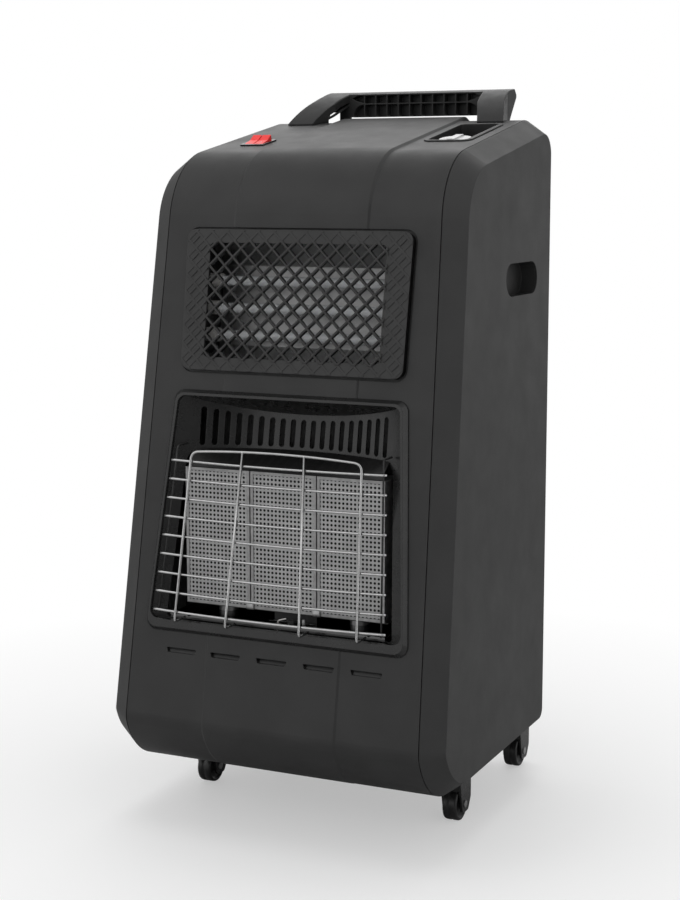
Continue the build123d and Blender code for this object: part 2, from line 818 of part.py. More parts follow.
def rocker_housing():
    """The twin switch body under the bezel, with the pin that both rockers turn on."""
    outer = (rocker_frame[0] / 2 - 2.4, rocker_frame[1] / 2 - 2.4)
    body = block((-outer[0], outer[0]), (-outer[1], outer[1]), (-20, 0))
    body -= block((-rocker_room[0], rocker_room[0]), (-rocker_room[1], rocker_room[1]), (-13, 2))
    body += Pos(0, 0, rocker_axis) * Rot(Y=90) * Cylinder(rocker_pin, 2 * rocker_room[0] + 0.6)
    for x in (-8, -2.5, 2.5, 8):
        for y in (-8, 0, 8):
            body += block((x - 0.4, x + 0.4), (y - 2.4, y + 2.4), (-28, -19.5))
    return rocker_place() * body


def rocker(offset):
    length = rocker_size[1] / 2
    shape = flat((length - 0.5, -2), (length - 1.2, rocker_rear), (2, 3.4), (0.5 - length, rocker_front),
                 (0.5 - length, -2), (-5, -5), (5, -5))
    body = extrude(Plane.YZ.offset(-rocker_size[0] / 2) * shape, rocker_size[0])
    body -= Pos(0, 0, rocker_axis) * Rot(Y=90) * Cylinder(rocker_pin + pin_gap, 30)
    return rocker_place() * Pos(offset, 0, 0) * body


# ---------------------------------------------------------------- quartz heater
def grille_face(shrink=0.0):
    return trapezoid(rise(grille_low) + shrink, rise(grille_high) - shrink, grille_half_low - shrink,
                     grille_half_high - shrink, grille_corner - shrink)


def diamond_lattice():
    """Crossing bars on the grille's plane, as one flat sketch."""
    tall = rise(grille_high) - rise(grille_low)
    middle = (rise(grille_high) + rise(grille_low)) / 2
    tilt = degrees(atan(diamond_height / diamond_width))
    length = 2 * tall / sin(radians(tilt))
    count = int((grille_half_high + tall) / diamond_width) + 2
    bars = []
    for index in range(-count, count + 1):
        for turn in (tilt, -tilt):
            place = Pos((index + 0.5) * diamond_width, middle)
            bars.append(place * Rot(Z=turn) * Rectangle(length, grille_bar))
    return Sketch() + bars


def quartz_grille():
    """The proud guard plate with raised diamond bars, open in the middle."""
    front = grille_proud - grille_bar_rise
    window = Pos(0, (rise(window_low) + rise(window_high)) / 2) * RectangleRounded(
        2 * window_half, rise(window_high) - rise(window_low), window_corner)
    plate = grille_face() - window
    body = extrude(face.offset(front - grille_plate) * plate, grille_plate)
    bars = diamond_lattice() & grille_face(0.8)
    body += extrude(face.offset(front - grille_plate) * bars, grille_plate + grille_frame_rise)
    inner = bars & (window + offset(window, grille_bar))
    body += extrude(face.offset(front - grille_plate) * inner, grille_plate + grille_bar_rise)
    skirt = grille_face() - grille_face(grille_skirt)
    body += extrude(face.offset(-shell_wall) * skirt, front + shell_wall - 0.5)
    return body


def box_room(grow=0.0):
    """The quartz heater box's mouth on the leaning front's plane."""
    low = rise(window_low) - 6 - grow
    high = rise(window_high) + 6 + grow
    half = tube_half + cap_length - 4 + grow
    return Pos(0, (low + high) / 2) * RectangleRounded(2 * half, high - low, 4 + grow)


def quartz_box():
    """The sheet-metal box behind the grille, with a flange against the shell's inner face."""
    edge = pocket_gap + quartz_flange
    flange = trapezoid(rise(grille_low) - edge, rise(grille_high) + edge, grille_half_low + edge,
                       grille_half_high + edge, grille_corner)
    inner = face.offset(-shell_wall)
    body = extrude(inner * flange, -quartz_sheet)
    body += extrude(inner * box_room(quartz_sheet), -quartz_box_depth)
    body -= extrude(inner.offset(1) * box_room(), -(quartz_box_depth + 1 - quartz_sheet))
    for x, z in grille_screw_spots():
        body -= face * Pos(x, rise(z), 0) * Cylinder(boss + 0.2, 20)
    return body


def quartz_reflector():
    """A bright folded sheet behind the tubes."""
    deep = -shell_wall - quartz_box_depth + quartz_sheet
    low = rise(window_low) - 4
    high = rise(window_high) + 4
    points = ((low, -22.0), (low + 22, deep + 1.6), (high - 22, deep + 1.6), (high, -22.0))
    thick = [(v, w - 1.6 if 0 < index < 3 else w) for index, (v, w) in enumerate(points)]
    section = flat(*points, (thick[3][0], thick[3][1] - 2.2), thick[2], thick[1],
                      (thick[0][0], thick[0][1] - 2.2))
    half = tube_half + cap_length - 5.2
    # local x is up the face, local y out of it
    plane = Plane(origin=face.from_local_coords((-half, 0, 0)), x_dir=face.y_dir, z_dir=(1, 0, 0))
    flip = plane.y_dir.dot(face.z_dir)
    if flip < 0:
        section = mirror(section, about=Plane.XZ)
    return extrude(plane * section, 2 * half)


def tube_places():
    return [face * Pos(0, rise(z), -tube_depth) * Rot(Y=90) for z in tube_heights]


def quartz_tubes():
    ring = Cylinder(tube_radius, 2 * tube_half) - Cylinder(tube_bore, 2 * tube_half + 2)
    return Compound(children=[place * ring for place in tube_places()])


def heating_elements():
    return Compound(children=[place * Cylinder(element_radius, 2 * tube_half) for place in tube_places()])


def tube_caps():
    caps = []
    outer = tube_half + cap_length - 4
    for place in tube_places():
        for side in (1, -1):
            cap = Pos(0, 0, side * (outer - cap_length / 2)) * Cylinder(cap_radius, cap_length)
            cap -= Pos(0, 0, side * (tube_half - 20)) * Cylinder(tube_radius + 0.1, 40)
            caps.append(place * cap)
    return Compound(children=caps)


# ---------------------------------------------------------------- burner bezel
def bezel_shape(inset, sill=0.0, corner=None):
    radius = bezel_corner - inset / 2 if corner is None else corner
    return trapezoid(rise(bezel_low) + inset + sill, rise(bezel_high) - inset, bezel_half_low - inset,
                     bezel_half_high - inset, radius)


def dish_section(v, half, sag):
    """The hollow's plan at one height: a box in front and an arc behind."""
    front = 2.0
    arc = ThreePointArc((half, front), (0, -sag), (-half, front))
    sides_and_front = Polyline((-half, front), (-half, 40), (half, 40), (half, front))
    plane = Plane(origin=face.from_local_coords((0, v, 0)), x_dir=(1, 0, 0), z_dir=face.y_dir)
    section = make_face([arc, sides_and_front])
    if plane.y_dir.dot(face.z_dir) < 0:
        section = mirror(section, about=Plane.XZ)
    return plane * section


def half_at(v, low, high):
    """Half width of the bezel at a distance up the front, between its two driving values."""
    share = (v - rise(bezel_low)) / (rise(bezel_high) - rise(bezel_low))
    return low + share * (high - low)


def dish_hollow(grow):
    """The room in front of the concave wall, grown by the wall for its outer skin."""
    low = rise(bezel_low) - 12
    high = rise(bezel_high) + 12
    sections = []
    for v, sag in ((low, dish_low_sag), (high, dish_top_sag)):
        half = half_at(v, bezel_half_low, bezel_half_high) - bezel_rim + grow
        sections.append(dish_section(v, half, sag + grow))
    room = loft(sections, ruled=True)
    shape = bezel_shape(bezel_rim - grow, bezel_sill - bezel_rim)
    room &= extrude(face.offset(-90) * shape, 140)
    tilt = -degrees(atan(ceiling_slope))
    edge = rise(bezel_high) - bezel_rim + grow * hypot(1, ceiling_slope)
    room -= face * Pos(0, edge, 2) * Rot(X=tilt) * Pos(0, 100, 0) * Box(500, 200, 400)
    return room


def dish_depth(x, v):
    """Depth of the concave wall behind the front's plane at one point."""
    share = (v - rise(bezel_low) + 12) / (rise(bezel_high) - rise(bezel_low) + 24)
    sag = dish_low_sag + share * (dish_top_sag - dish_low_sag)
    half = half_at(v, bezel_half_low, bezel_half_high) - bezel_rim
    deep = sag + 2
    radius = (half * half + deep * deep) / (2 * deep)
    return sag - radius + sqrt(max(radius * radius - x * x, 0))


def burner_bezel():
    """The glossy frame with a concave wall, a sloping ceiling, vents and the burner's window."""
    rim = loft([face.offset(bezel_lift) * bezel_shape(0),
                face.offset(bezel_proud) * bezel_shape(bezel_draft)],
               ruled=True)
    rim -= extrude(face.offset(-5) * bezel_shape(bezel_rim, bezel_sill - bezel_rim), 30)
    neck = bezel_shape(bezel_neck + 0.4) - bezel_shape(bezel_neck + 0.4 + bezel_wall)
    body = rim + extrude(face.offset(-9) * neck, 9 + bezel_lift + 0.5)
    skin = dish_hollow(bezel_wall)
    skin &= extrude(face.offset(-90) * bezel_shape(bezel_neck + 0.4), 90 + bezel_lift + 0.5)
    body += skin
    body -= dish_hollow(0)
    window = rounded(((-burner_gap_half_low, burner_gap_low), (burner_gap_half_low, burner_gap_low),
                      (burner_gap_half_high, burner_gap_high), (-burner_gap_half_high, burner_gap_high)),
                     (4, 4, burner_gap_corner, burner_gap_corner))
    body -= extrude(Plane.XZ.offset(60) * window, 170)
    x, y, z = pilot_at
    body -= block((x - pilot_arm - 3, x + pilot_arm + 3), (y - 8, y + 60), (z - 20, z + 4))
    for index in range(vent_count):
        x = (index - (vent_count - 1) / 2) * vent_pitch
        depth = dish_depth(x, rise(470))
        high = bezel_high - bezel_rim - vent_drop * depth - vent_margin
        slot = Pos(x, (vent_low + high) / 2) * Rot(Z=90) * SlotOverall(high - vent_low, vent_width)
        body -= extrude(Plane.XZ.offset(60) * slot, 110)
    return body


# ---------------------------------------------------------------- burners
def burner_box(x):
    """A sheet-metal burner body with a rim round its plaque and a mixing tube below."""
    half = burner_width / 2
    back_face = burner_face + burner_depth
    box = block((x - half, x + half), (burner_face, back_face), (burner_low, burner_high))
    wall = burner_sheet
    box -= block((x - half + wall, x + half - wall), (burner_face + wall, back_face - wall),
                 (burner_low + wall, burner_high - wall))
    rim = burner_rim
    box -= block((x - half + rim, x + half - rim), (burner_face - 1, burner_face + wall + 1),
                 (burner_low + rim, burner_high - rim))
    middle = burner_face + burner_depth * 0.62
    pipe = Pos(x, middle, burner_low - venturi_length / 2) * Cylinder(venturi_radius, venturi_length)
    box += pipe
    return box - Pos(x, middle, burner_low - venturi_length / 2) * Cylinder(venturi_radius - wall,
                                                                         venturi_length + 8)


def plaque(x):
    """A ceramic tile with rows of blind flame holes."""
    gap = burner_sheet + 0.2
    half = burner_width / 2 - gap
    tall = (burner_high - burner_low) / 2 - gap
    middle = (burner_high + burner_low) / 2
    bottom = burner_face + burner_sheet + dent_deep
    plane = Plane(origin=(x, bottom, middle), x_dir=(1, 0, 0), z_dir=(0, -1, 0))
    outer = Wire.make_rect(2 * half, 2 * tall)
    holes = []
    for column in range(dent_columns):
        for row in range(dent_rows):
            place = ((column - (dent_columns - 1) / 2) * dent_pitch[0],
                     (row - (dent_rows - 1) / 2) * dent_pitch[1])
            holes.append(Wire.make_circle(dent_radius).moved(Location((*place, 0))))
    front = extrude(plane * Face(outer, holes), dent_deep, dir=(0, -1, 0))
    return front + extrude(plane * Face(outer), plaque_thick - dent_deep, dir=(0, 1, 0))


def burner_hood():
    """The folded sheet over the burners that closes the gap up to the concave wall."""
    front = burner_face + 1
    low = burner_high + 0.4
    high = burner_gap_high - 3
    section = flat((front, low), (front + 16, high - 2), (front + 44, high), (front + 44, high - 1.4),
                   (front + 16.6, high - 3.4), (front + 5.6, low + 1.4),
                   (front + 38, low + 1.4), (front + 38, low))
    half = burner_gap_half_high - 7
    return extrude(Plane.YZ.offset(-half) * section, 2 * half)


def reflecting_tray():
    """The bright sheet in front of and under the burners, with an opening for the pilot flame."""
    y = (front_at(burner_gap_low) + 3, burner_face + burner_depth)
    half = burner_gap_half_low - 7
    tray = block((-half, half), y, (tray_z, tray_z + 1.0))
    tray += block((-half, half), (y[0], y[0] + 1.0), (tray_z - 4.0, tray_z + 0.5))
    for x in burner_spots():
        tray -= Pos(x, burner_face + burner_depth * 0.62, tray_z) * Cylinder(venturi_radius + 0.6, 20)
    x, y, z = pilot_at
    slot = Pos(x, y) * SlotOverall(2 * pilot_arm + 6, 11)
    tray -= block((x - pilot_arm - 0.5, x + pilot_arm + 0.5), (y + 11.8, y + 14.6), (tray_z - 5, tray_z + 5))
    return tray - extrude(Plane.XY.offset(tray_z - 5) * slot, 10)


def burner_spots():
    return [burner_pitch * index for index in (-1, 0, 1)]


def burner_chassis():
    """The shelf and cheeks that carry the burners in front of the partition."""
    top = burner_low - seat_gap
    y = (burner_face + 4, shield_y)
    half = burner_gap_half_high - 1
    shelf = block((-half, half), y, (top - 1.5, top))
    for x in burner_spots():
        shelf -= Pos(x, burner_face + burner_depth * 0.62, top) * Cylinder(venturi_radius + 0.6, 20)
    shelf += block((-half, half), (shield_y - 1.5, shield_y), (top - 1, top + 60))
    for x in (-half, half - 1.5):
        low = top - 1
        cheek = flat((burner_face + burner_depth + 2, low), (shield_y - 1, low), (shield_y - 1, top + 60))
        shelf += extrude(Plane.YZ.offset(x) * cheek, 1.5)
    return shelf


def injector_manifold():
    """The gas rail with one injector under each mixing tube, on two arms from the partition."""
    rail = Pos((manifold_end - 96) / 2, manifold_y, manifold_z) * Rot(Y=90) * Cylinder(6.5, manifold_end + 96)
    tip = burner_low - venturi_length - 0.6
    for x in burner_spots():
        rail += Pos(x, manifold_y, (manifold_z + tip) / 2) * Cylinder(injector_radius, tip - manifold_z)
    for x in (-46, 46):
        rail += block((x - 8, x + 8), (manifold_y, shield_y), (manifold_z - 1.5, manifold_z + 1.5))
        rail += block((x - 8, x + 8), (shield_y - 2, shield_y), (manifold_z - 14, manifold_z + 14))
    return rail


def valve_port(side):
    """The middle of the valve's front or rear port, at its outer end."""
    y = run(knob_at[1]) + side * (valve_size[1] / 2 + 6)
    return lid.from_local_coords((knob_at[0], y, -well_deep - 30))


def burner_pipe():
    """From the valve's front port, over the partition and down to the rail."""
    start = valve_port(-1)
    side_x = 148.0
    forward = lid.y_dir * -14
    crossing = shield_high + 60
    points = [start, start + forward,
              (side_x, shield_y + 26, crossing + 90), (side_x, shield_y + 10, crossing),
              (side_x, manifold_y, crossing - 220), (side_x, manifold_y, manifold_z),
              (manifold_end, manifold_y, manifold_z)]
    return tube_along(points, 4.0, 11)


def inlet_pipe():
    """From the hose tail in the bottle bay up to the valve's rear port."""
    start = valve_port(1)
    x, y, z = inlet_at
    rearward = lid.y_dir * 14
    points = [start, start + rearward, (x, y, 690), (x, y, z)]
    return tube_along(points, 4.0, 10)


def hose_tail():
    """The grooved tail that a gas hose is pushed on, under its hexagonal shoulder."""
    x, y, z = inlet_at
    tail = Pos(x, y, z - 12) * extrude(RegularPolygon(9, 6), 12)
    tail += Pos(x, y, z - 28) * Cylinder(tail_radius, 34)
    for index in range(3):
        ring = Cylinder(tail_radius + 2, 1.2) - Cylinder(tail_radius - 0.6, 3)
        tail -= Pos(x, y, z - 22 - 6 * index) * ring
    return tail


def pilot_burner():
    """The pilot's jet and hood on a bracket under the shelf."""
    x, y, z = pilot_at
    body = Pos(x, y, z + 2) * Cylinder(4.0, 16)
    body += Pos(x, y, z - 9) * Cylinder(5.5, 8)
    arm = (x - pilot_arm, x + pilot_arm)
    body += block(arm, (y - 1, y + 14), (z - 13, z - 11.4))
    body += block(arm, (y + 12.4, y + 14), (z - 13, burner_low - seat_gap - 1.5))
    for at in (x - 16, x + 16):
        body -= Pos(at, y, z - 12) * Cylinder(2.2, 10)
    return body - Pos(x, y, z + 4) * Cylinder(2.6, 16)


def spark_electrode():
    x, y, z = pilot_at
    body = Pos(x - 16, y, z - 6) * Cylinder(3.4, 10.8)
    body += Pos(x - 16, y, z - 12) * Cylinder(2.0, 12)
    return body + tube_along([(x - 16, y, z - 2), (x - 16, y, z + 8), (x - 6, y, z + 11)], 0.8, 3)


def thermocouple():
    """The probe beside the pilot flame, with its lead up to the valve."""
    x, y, z = pilot_at
    probe = Pos(x + 16, y, z + 1) * Cylinder(2.0, 22)
    end = lid.from_local_coords((knob_at[0] + 12, run(knob_at[1]) - valve_size[1] / 2, -well_deep - 12))
    far = 134.0
    points = [(x + 16, y, z - 8), (x + 16, y, z - 34), (far, y + 20, z - 44), (far, shield_y - 12, z + 60),
              (far, shield_y - 12, 650), (far, shield_y + 10, 700), end + lid.y_dir * -16, end]
    return probe + tube_along(points, 1.3, 7)


# ---------------------------------------------------------------- wire guard
def guard_half(z):
    share = (z - guard_low) / (guard_high - guard_low)
    return guard_half_low + share * (guard_half_high - guard_half_low)


def guard_at(x, z):
    """The bowed rows' middle line: y for a point across and up."""
    half = guard_half(z)
    return front_at(z) - guard_proud - guard_bow * (1 - (x / half) ** 2)


def post_x(post, z):
    return post + guard_post_spread * (guard_high - z)


def post_point(side, post, z):
    """A point on an upright, which lies in front of the rows and is welded to them."""
    x = post_x(post, z)
    return (side * x, guard_at(x, z) - 2 * guard_wire + weld, z)


def guard_row(z):
    half = guard_half(z)
    row = ThreePointArc((-half, guard_at(half, z), z), (0, guard_at(0, z), z), (half, guard_at(half, z), z))
    return sweep(Plane(origin=row @ 0, z_dir=row % 0) * Circle(guard_wire), row)


def guard_frame():
    """The outer uprights and the arch as one bent wire, with feet that hook over the sill."""
    outer = max(guard_posts)
    feet = [post_point(side, outer, guard_foot) for side in (-1, 1)]
    hooks = [(x, y + guard_hook, z) for x, y, z in feet]
    shoulders = [post_point(side, outer, guard_arch) for side in (-1, 1)]
    crown = post_point(1, 0.0, guard_arch)
    bow = shoulders[1][1] - crown[1]
    crown_radius = 0.8 * (outer - guard_arch_radius) / (bow / outer)
    path = FilletPolyline(hooks[0], feet[0], shoulders[0], (0, crown[1], guard_arch),
                          shoulders[1], feet[1], hooks[1],
                          radius=[4, guard_arch_radius, crown_radius, guard_arch_radius, 4])
    return sweep(Plane(origin=path @ 0, z_dir=path % 0) * Circle(guard_wire), path)


def wire_guard():
    """Bowed rows on four uprights under an arch, with a thin rod behind each end of the rows."""
    whole = guard_frame()
    spacing = (guard_high - guard_low) / (guard_rows - 1)
    parts = [guard_row(guard_low + spacing * index) for index in range(guard_rows)]
    for side in (1, -1):
        foot = post_point(side, min(guard_posts), guard_foot)
        top = post_point(side, min(guard_posts), guard_arch)
        hook = (foot[0], foot[1] + guard_hook, foot[2])
        parts.append(tube_along([hook, foot, top], guard_wire, 4))
        ends = []
        for z in (guard_low - 4, burner_gap_high + 6):
            x = guard_half(z) - 5.5
            ends.append((side * x, guard_at(x, z) + guard_wire + guard_rod - weld, z))
        wall = front_at(ends[1][2]) + dish_depth(ends[1][0], rise(ends[1][2])) - guard_rod
        parts.append(tube_along([*ends, (ends[1][0], wall, ends[1][2])], guard_rod, 3))
    for part in parts:
        whole += part
    return whole


# ---------------------------------------------------------------- electrics in the base
def cord_gland():
    """The bush in the rear flange that a mains cord would pass through."""
    x, y, z = gland_at
    place = Pos(x, y, z) * Rot(X=90)
    bush = place * (Cylinder(gland_radius, 12) - Cylinder(3.6, 40))
    y_in = y - 2 * lip_gap - cover_sheet - base_sheet - 2.2
    collar = Pos(x, y_in, z) * Rot(X=90) * (Cylinder(gland_radius + 3, 2.4) - Cylinder(3.6, 40))
    return bush + collar


def terminal_block():
    low = under_height + base_sheet
    body = block((-132, -88), (84, 104), (low, low + 18))
    for x in (-124, -110, -96):
        body -= Pos(x, 94, low + 18) * Cylinder(3, 12)
    return body


def tilt_switch():
    low = under_height + base_sheet
    body = block((-130, -104), (30, 52), (low, low + 34))
    return body + block((-134, -100), (30, 52), (low, low + 2))


# ---------------------------------------------------------------- casters
def caster_socket(x, y):
    top = under_height + base_sheet
    high = top + stem_high
    body = Pos(x, y, (under_height + high) / 2) * Cylinder(socket_radius, high - under_height)
    body += Pos(x, y, top + 1.2) * Cylinder(socket_flange, 2.4)
    return body - Pos(x, y, top) * Cylinder(stem_radius + pin_gap, 80)


def caster_sockets():
    return Compound(children=[caster_socket(x, y) for x, y in caster_spots()])


def caster_fork(x, y):
    """A hooded fork that trails behind its stem."""
    top = under_height - seat_gap
    outer = wheel_width / 2 + fork_gap + fork_wall
    cheek = rounded(((-18, top), (19, top), (19, 24), (11, 10), (-7, 10), (-12, 32)), (1, 2, 9, 6, 6, 12))
    mid = y + caster_trail
    body = extrude(Plane.YZ.offset(-outer) * cheek, 2 * outer)
    room = wheel_width / 2 + fork_gap
    body -= Pos(0, 0, wheel_radius) * Rot(Y=90) * Cylinder(wheel_radius + fork_clear, 2 * room)
    body -= block((-room, room), (-40, 40), (-5, wheel_radius))
    body -= block((-room, room), (-40, 0), (wheel_radius - 1, wheel_radius + 12))
    body = Pos(x, mid, 0) * body
    body += Pos(x, y, top - 2.5) * Cylinder(12, 5)
    body -= Pos(x, mid, wheel_radius) * Rot(Y=90) * Cylinder(wheel_radius + fork_clear, 2 * room)
    body += Pos(x, y, top + stem_high / 2) * Cylinder(stem_radius, stem_high)
    return body - Pos(x, mid, wheel_radius) * Rot(Y=90) * Cylinder(axle_radius, 60)


def caster_wheel(x, y):
    place = Pos(x, y + caster_trail, wheel_radius) * Rot(Y=90)
    half = wheel_width / 2
    body = Cylinder(wheel_radius, wheel_width)
    for side in (1, -1):
        dish = Cylinder(wheel_radius - 4, 2 * tyre_dish) - Cylinder(7, 4 * tyre_dish)
        body -= Pos(0, 0, side * half) * dish
    return place * (body - Cylinder(axle_radius + pin_gap, 40))


def caster_axle(x, y):
    outer = wheel_width / 2 + fork_gap + fork_wall
    place = Pos(x, y + caster_trail, wheel_radius) * Rot(Y=90)
    heads = [Pos(0, 0, side * (outer + 0.6)) * Cylinder(4.4, 1.2) for side in (1, -1)]
    return place * (Cylinder(axle_radius, 2 * outer) + heads[0] + heads[1])


# ---------------------------------------------------------------- write every sub-part
save(front_shell(), "front_shell")
for name, side in sides.items():
    save(side_panel(side), f"{name}_side_panel")
    save(grip_cup(side), f"{name}_grip_cup")
save(base_pan(), "base_pan")
save(rear_cover(), "rear_cover")
save(top_brace(), "top_brace")
save(heat_shield(), "heat_shield")
save(carry_handle(), "carry_handle")
save(fixing_screws(), "fixing_screws")
save(control_well(), "control_well")
save(gas_valve_body(), "gas_valve_body")
save(knob_collar(), "knob_collar")
save(valve_spindle(), "valve_spindle")
save(gas_knob(), "gas_knob")
save(rocker_bezel(), "rocker_bezel")
save(rocker_housing(), "rocker_housing")
save(rocker(-rocker_pitch / 2), "rocker_left")
save(rocker(rocker_pitch / 2), "rocker_right")
save(quartz_grille(), "quartz_grille")
save(quartz_box(), "quartz_box")
save(quartz_reflector(), "quartz_reflector")
save(quartz_tubes(), "quartz_tubes")
save(heating_elements(), "heating_elements")
save(tube_caps(), "tube_caps")
save(burner_bezel(), "burner_bezel")
for name, x in zip(("left", "middle", "right"), burner_spots()):
    save(burner_box(x), f"burner_box_{name}")
    save(plaque(x), f"plaque_{name}")
save(burner_hood(), "burner_hood")
save(reflecting_tray(), "reflecting_tray")
save(burner_chassis(), "burner_chassis")
save(injector_manifold(), "injector_manifold")
save(burner_pipe(), "burner_pipe")
save(inlet_pipe(), "inlet_pipe")
save(hose_tail(), "hose_tail")
save(pilot_burner(), "pilot_burner")
save(spark_electrode(), "spark_electrode")
save(thermocouple(), "thermocouple")
save(wire_guard(), "wire_guard")
save(cord_gland(), "cord_gland")
save(terminal_block(), "terminal_block")
save(tilt_switch(), "tilt_switch")
save(caster_sockets(), "caster_sockets")
names = ("front_right", "front_left", "rear_right", "rear_left")
for name, (x, y) in zip(names, caster_spots()):
    save(caster_fork(x, y), f"caster_fork_{name}")
    save(caster_wheel(x, y), f"caster_wheel_{name}")
    save(caster_axle(x, y), f"caster_axle_{name}")
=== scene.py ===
import json
from math import cos, pi, radians, sin

import bmesh
import bpy
import numpy as np
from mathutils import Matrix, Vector


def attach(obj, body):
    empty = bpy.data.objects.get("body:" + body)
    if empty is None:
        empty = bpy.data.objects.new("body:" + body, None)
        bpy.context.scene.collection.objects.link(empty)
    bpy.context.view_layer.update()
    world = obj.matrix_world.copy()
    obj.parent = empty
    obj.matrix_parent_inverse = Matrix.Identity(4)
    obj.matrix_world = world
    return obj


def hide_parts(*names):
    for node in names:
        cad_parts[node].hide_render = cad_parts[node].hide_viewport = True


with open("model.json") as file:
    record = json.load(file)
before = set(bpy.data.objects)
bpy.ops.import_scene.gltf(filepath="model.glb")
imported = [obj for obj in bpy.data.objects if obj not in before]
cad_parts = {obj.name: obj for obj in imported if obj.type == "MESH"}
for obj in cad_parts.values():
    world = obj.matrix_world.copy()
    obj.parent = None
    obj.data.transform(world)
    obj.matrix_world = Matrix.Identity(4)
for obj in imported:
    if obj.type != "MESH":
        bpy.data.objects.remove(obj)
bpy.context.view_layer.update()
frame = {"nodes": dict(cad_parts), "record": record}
cadNodes = frame["nodes"]
print("frame loaded with", len(cadNodes), "nodes")

mm = 0.001
scene = bpy.context.scene
scene.view_settings.view_transform = "Standard"

# the parts of a noise's range that get stretched over a whole effect
noiseSpan = {"cloud": (0.32, 0.68), "speck": (0.55, 0.75), "fineSpeck": (0.5, 0.72), "smudge": (0.3, 0.7),
             "wear": (0.42, 0.6)}
edgeSpan = (0.995, 0.86)  # cosine between a softened normal and the face's own: flat, then edge


def addNode(tree, kind, settings=None, sockets=None):
    # a socket's value is another socket, which gets a link, or a plain number or colour
    node = tree.nodes.new("ShaderNode" + kind)
    for key, value in (settings or {}).items():
        setattr(node, key, value)
    for key, value in (sockets or {}).items():
        if isinstance(value, bpy.types.NodeSocket):
            tree.links.new(value, node.inputs[key])
        else:
            node.inputs[key].default_value = value
    return node


def emptyMaterial(name):
    material = bpy.data.materials.new(name)
    material.use_nodes = True
    material.node_tree.nodes.clear()
    return material, material.node_tree


def toSurface(tree, shader):
    tree.links.new(shader.outputs[0], addNode(tree, "OutputMaterial").inputs[0])


def objectPlace(tree, stretch=(1, 1, 1)):
    coords = addNode(tree, "TexCoord").outputs["Object"]
    return addNode(tree, "Mapping", None, {"Vector": coords, "Scale": stretch}).outputs[0]


def noise(tree, place, scale, detail=3.0, rough=0.5):
    made = addNode(tree, "TexNoise", None, {"Vector": place, "Scale": scale, "Detail": detail,
                                            "Roughness": rough})
    return made.outputs["Fac"]


def spread(tree, value, span, out=(0.0, 1.0)):
    # the value's span stretched over the span out, held at both ends
    made = addNode(tree, "MapRange", None, {0: value, 1: span[0], 2: span[1], 3: out[0], 4: out[1]})
    return made.outputs[0]


def mixColour(tree, share, first, second):
    made = addNode(tree, "Mix", {"data_type": "RGBA"}, {0: share, 6: first, 7: second})
    return made.outputs[2]


def maths(tree, what, first, second, third=0.0):
    return addNode(tree, "Math", {"operation": what}, {0: first, 1: second, 2: third}).outputs[0]


def lengthOf(tree, vector):
    return addNode(tree, "VectorMath", {"operation": "LENGTH"}, {0: vector}).outputs["Value"]


def bump(tree, height, deep, normal=None):
    # deep is in millimetres
    sockets = {"Strength": 1.0, "Distance": deep * mm, "Height": height}
    if normal is not None:
        sockets["Normal"] = normal
    return addNode(tree, "Bump", None, sockets).outputs[0]


def grey(level, warm=0.0):
    return (level * (1 + warm), level, level * (1 - warm), 1.0)


def edgeShare(tree, radius):
    # how far the softened normal turns from the face's own normal, from 0 on a flat to 1 on an edge
    soft = addNode(tree, "Bevel", {"samples": 6}, {"Radius": radius * mm}).outputs[0]
    face = addNode(tree, "NewGeometry").outputs["Normal"]
    dot = addNode(tree, "VectorMath", {"operation": "DOT_PRODUCT"}, {0: soft, 1: face}).outputs["Value"]
    return soft, spread(tree, dot, edgeSpan)


def cloudedColour(tree, place, look):
    cloud = noise(tree, place, look["cloud"], detail=4)
    return mixColour(tree, spread(tree, cloud, noiseSpan["cloud"]), look["dark"], look["light"])


# what a finish has unless its own look says otherwise; scales are per metre, depths in millimetres
plainLook = {"cloud": 22, "stretch": (1, 1, 1), "speck": 900, "speckShare": 0.2, "smudge": 60, "edge": 0.8,
             "worn": 0.5, "leastWorn": 0.15, "wear": 240, "grain": 1400, "grainDeep": 0.03, "wave": 40,
             "waveDeep": 0.02, "metal": 0.0, "shine": 0.5, "coat": 0.0, "coatRough": 0.1, "clear": 0.0,
             "ior": 1.5}
sideSpan = {"right": (0.55, 0.85), "down": (-0.6, -0.9)}  # how far a wall has turned, by its normal


def sideShaded(tree, colour, shade):
    # walls that turn to the right or down lie in the shade of the plate they carry
    normal = addNode(tree, "TexCoord").outputs["Normal"]
    turned = addNode(tree, "SeparateXYZ", None, {0: normal})
    shaded = maths(tree, "MAXIMUM", spread(tree, turned.outputs["X"], sideSpan["right"]),
                   spread(tree, turned.outputs["Z"], sideSpan["down"]))
    return mixColour(tree, shaded, colour, shade)


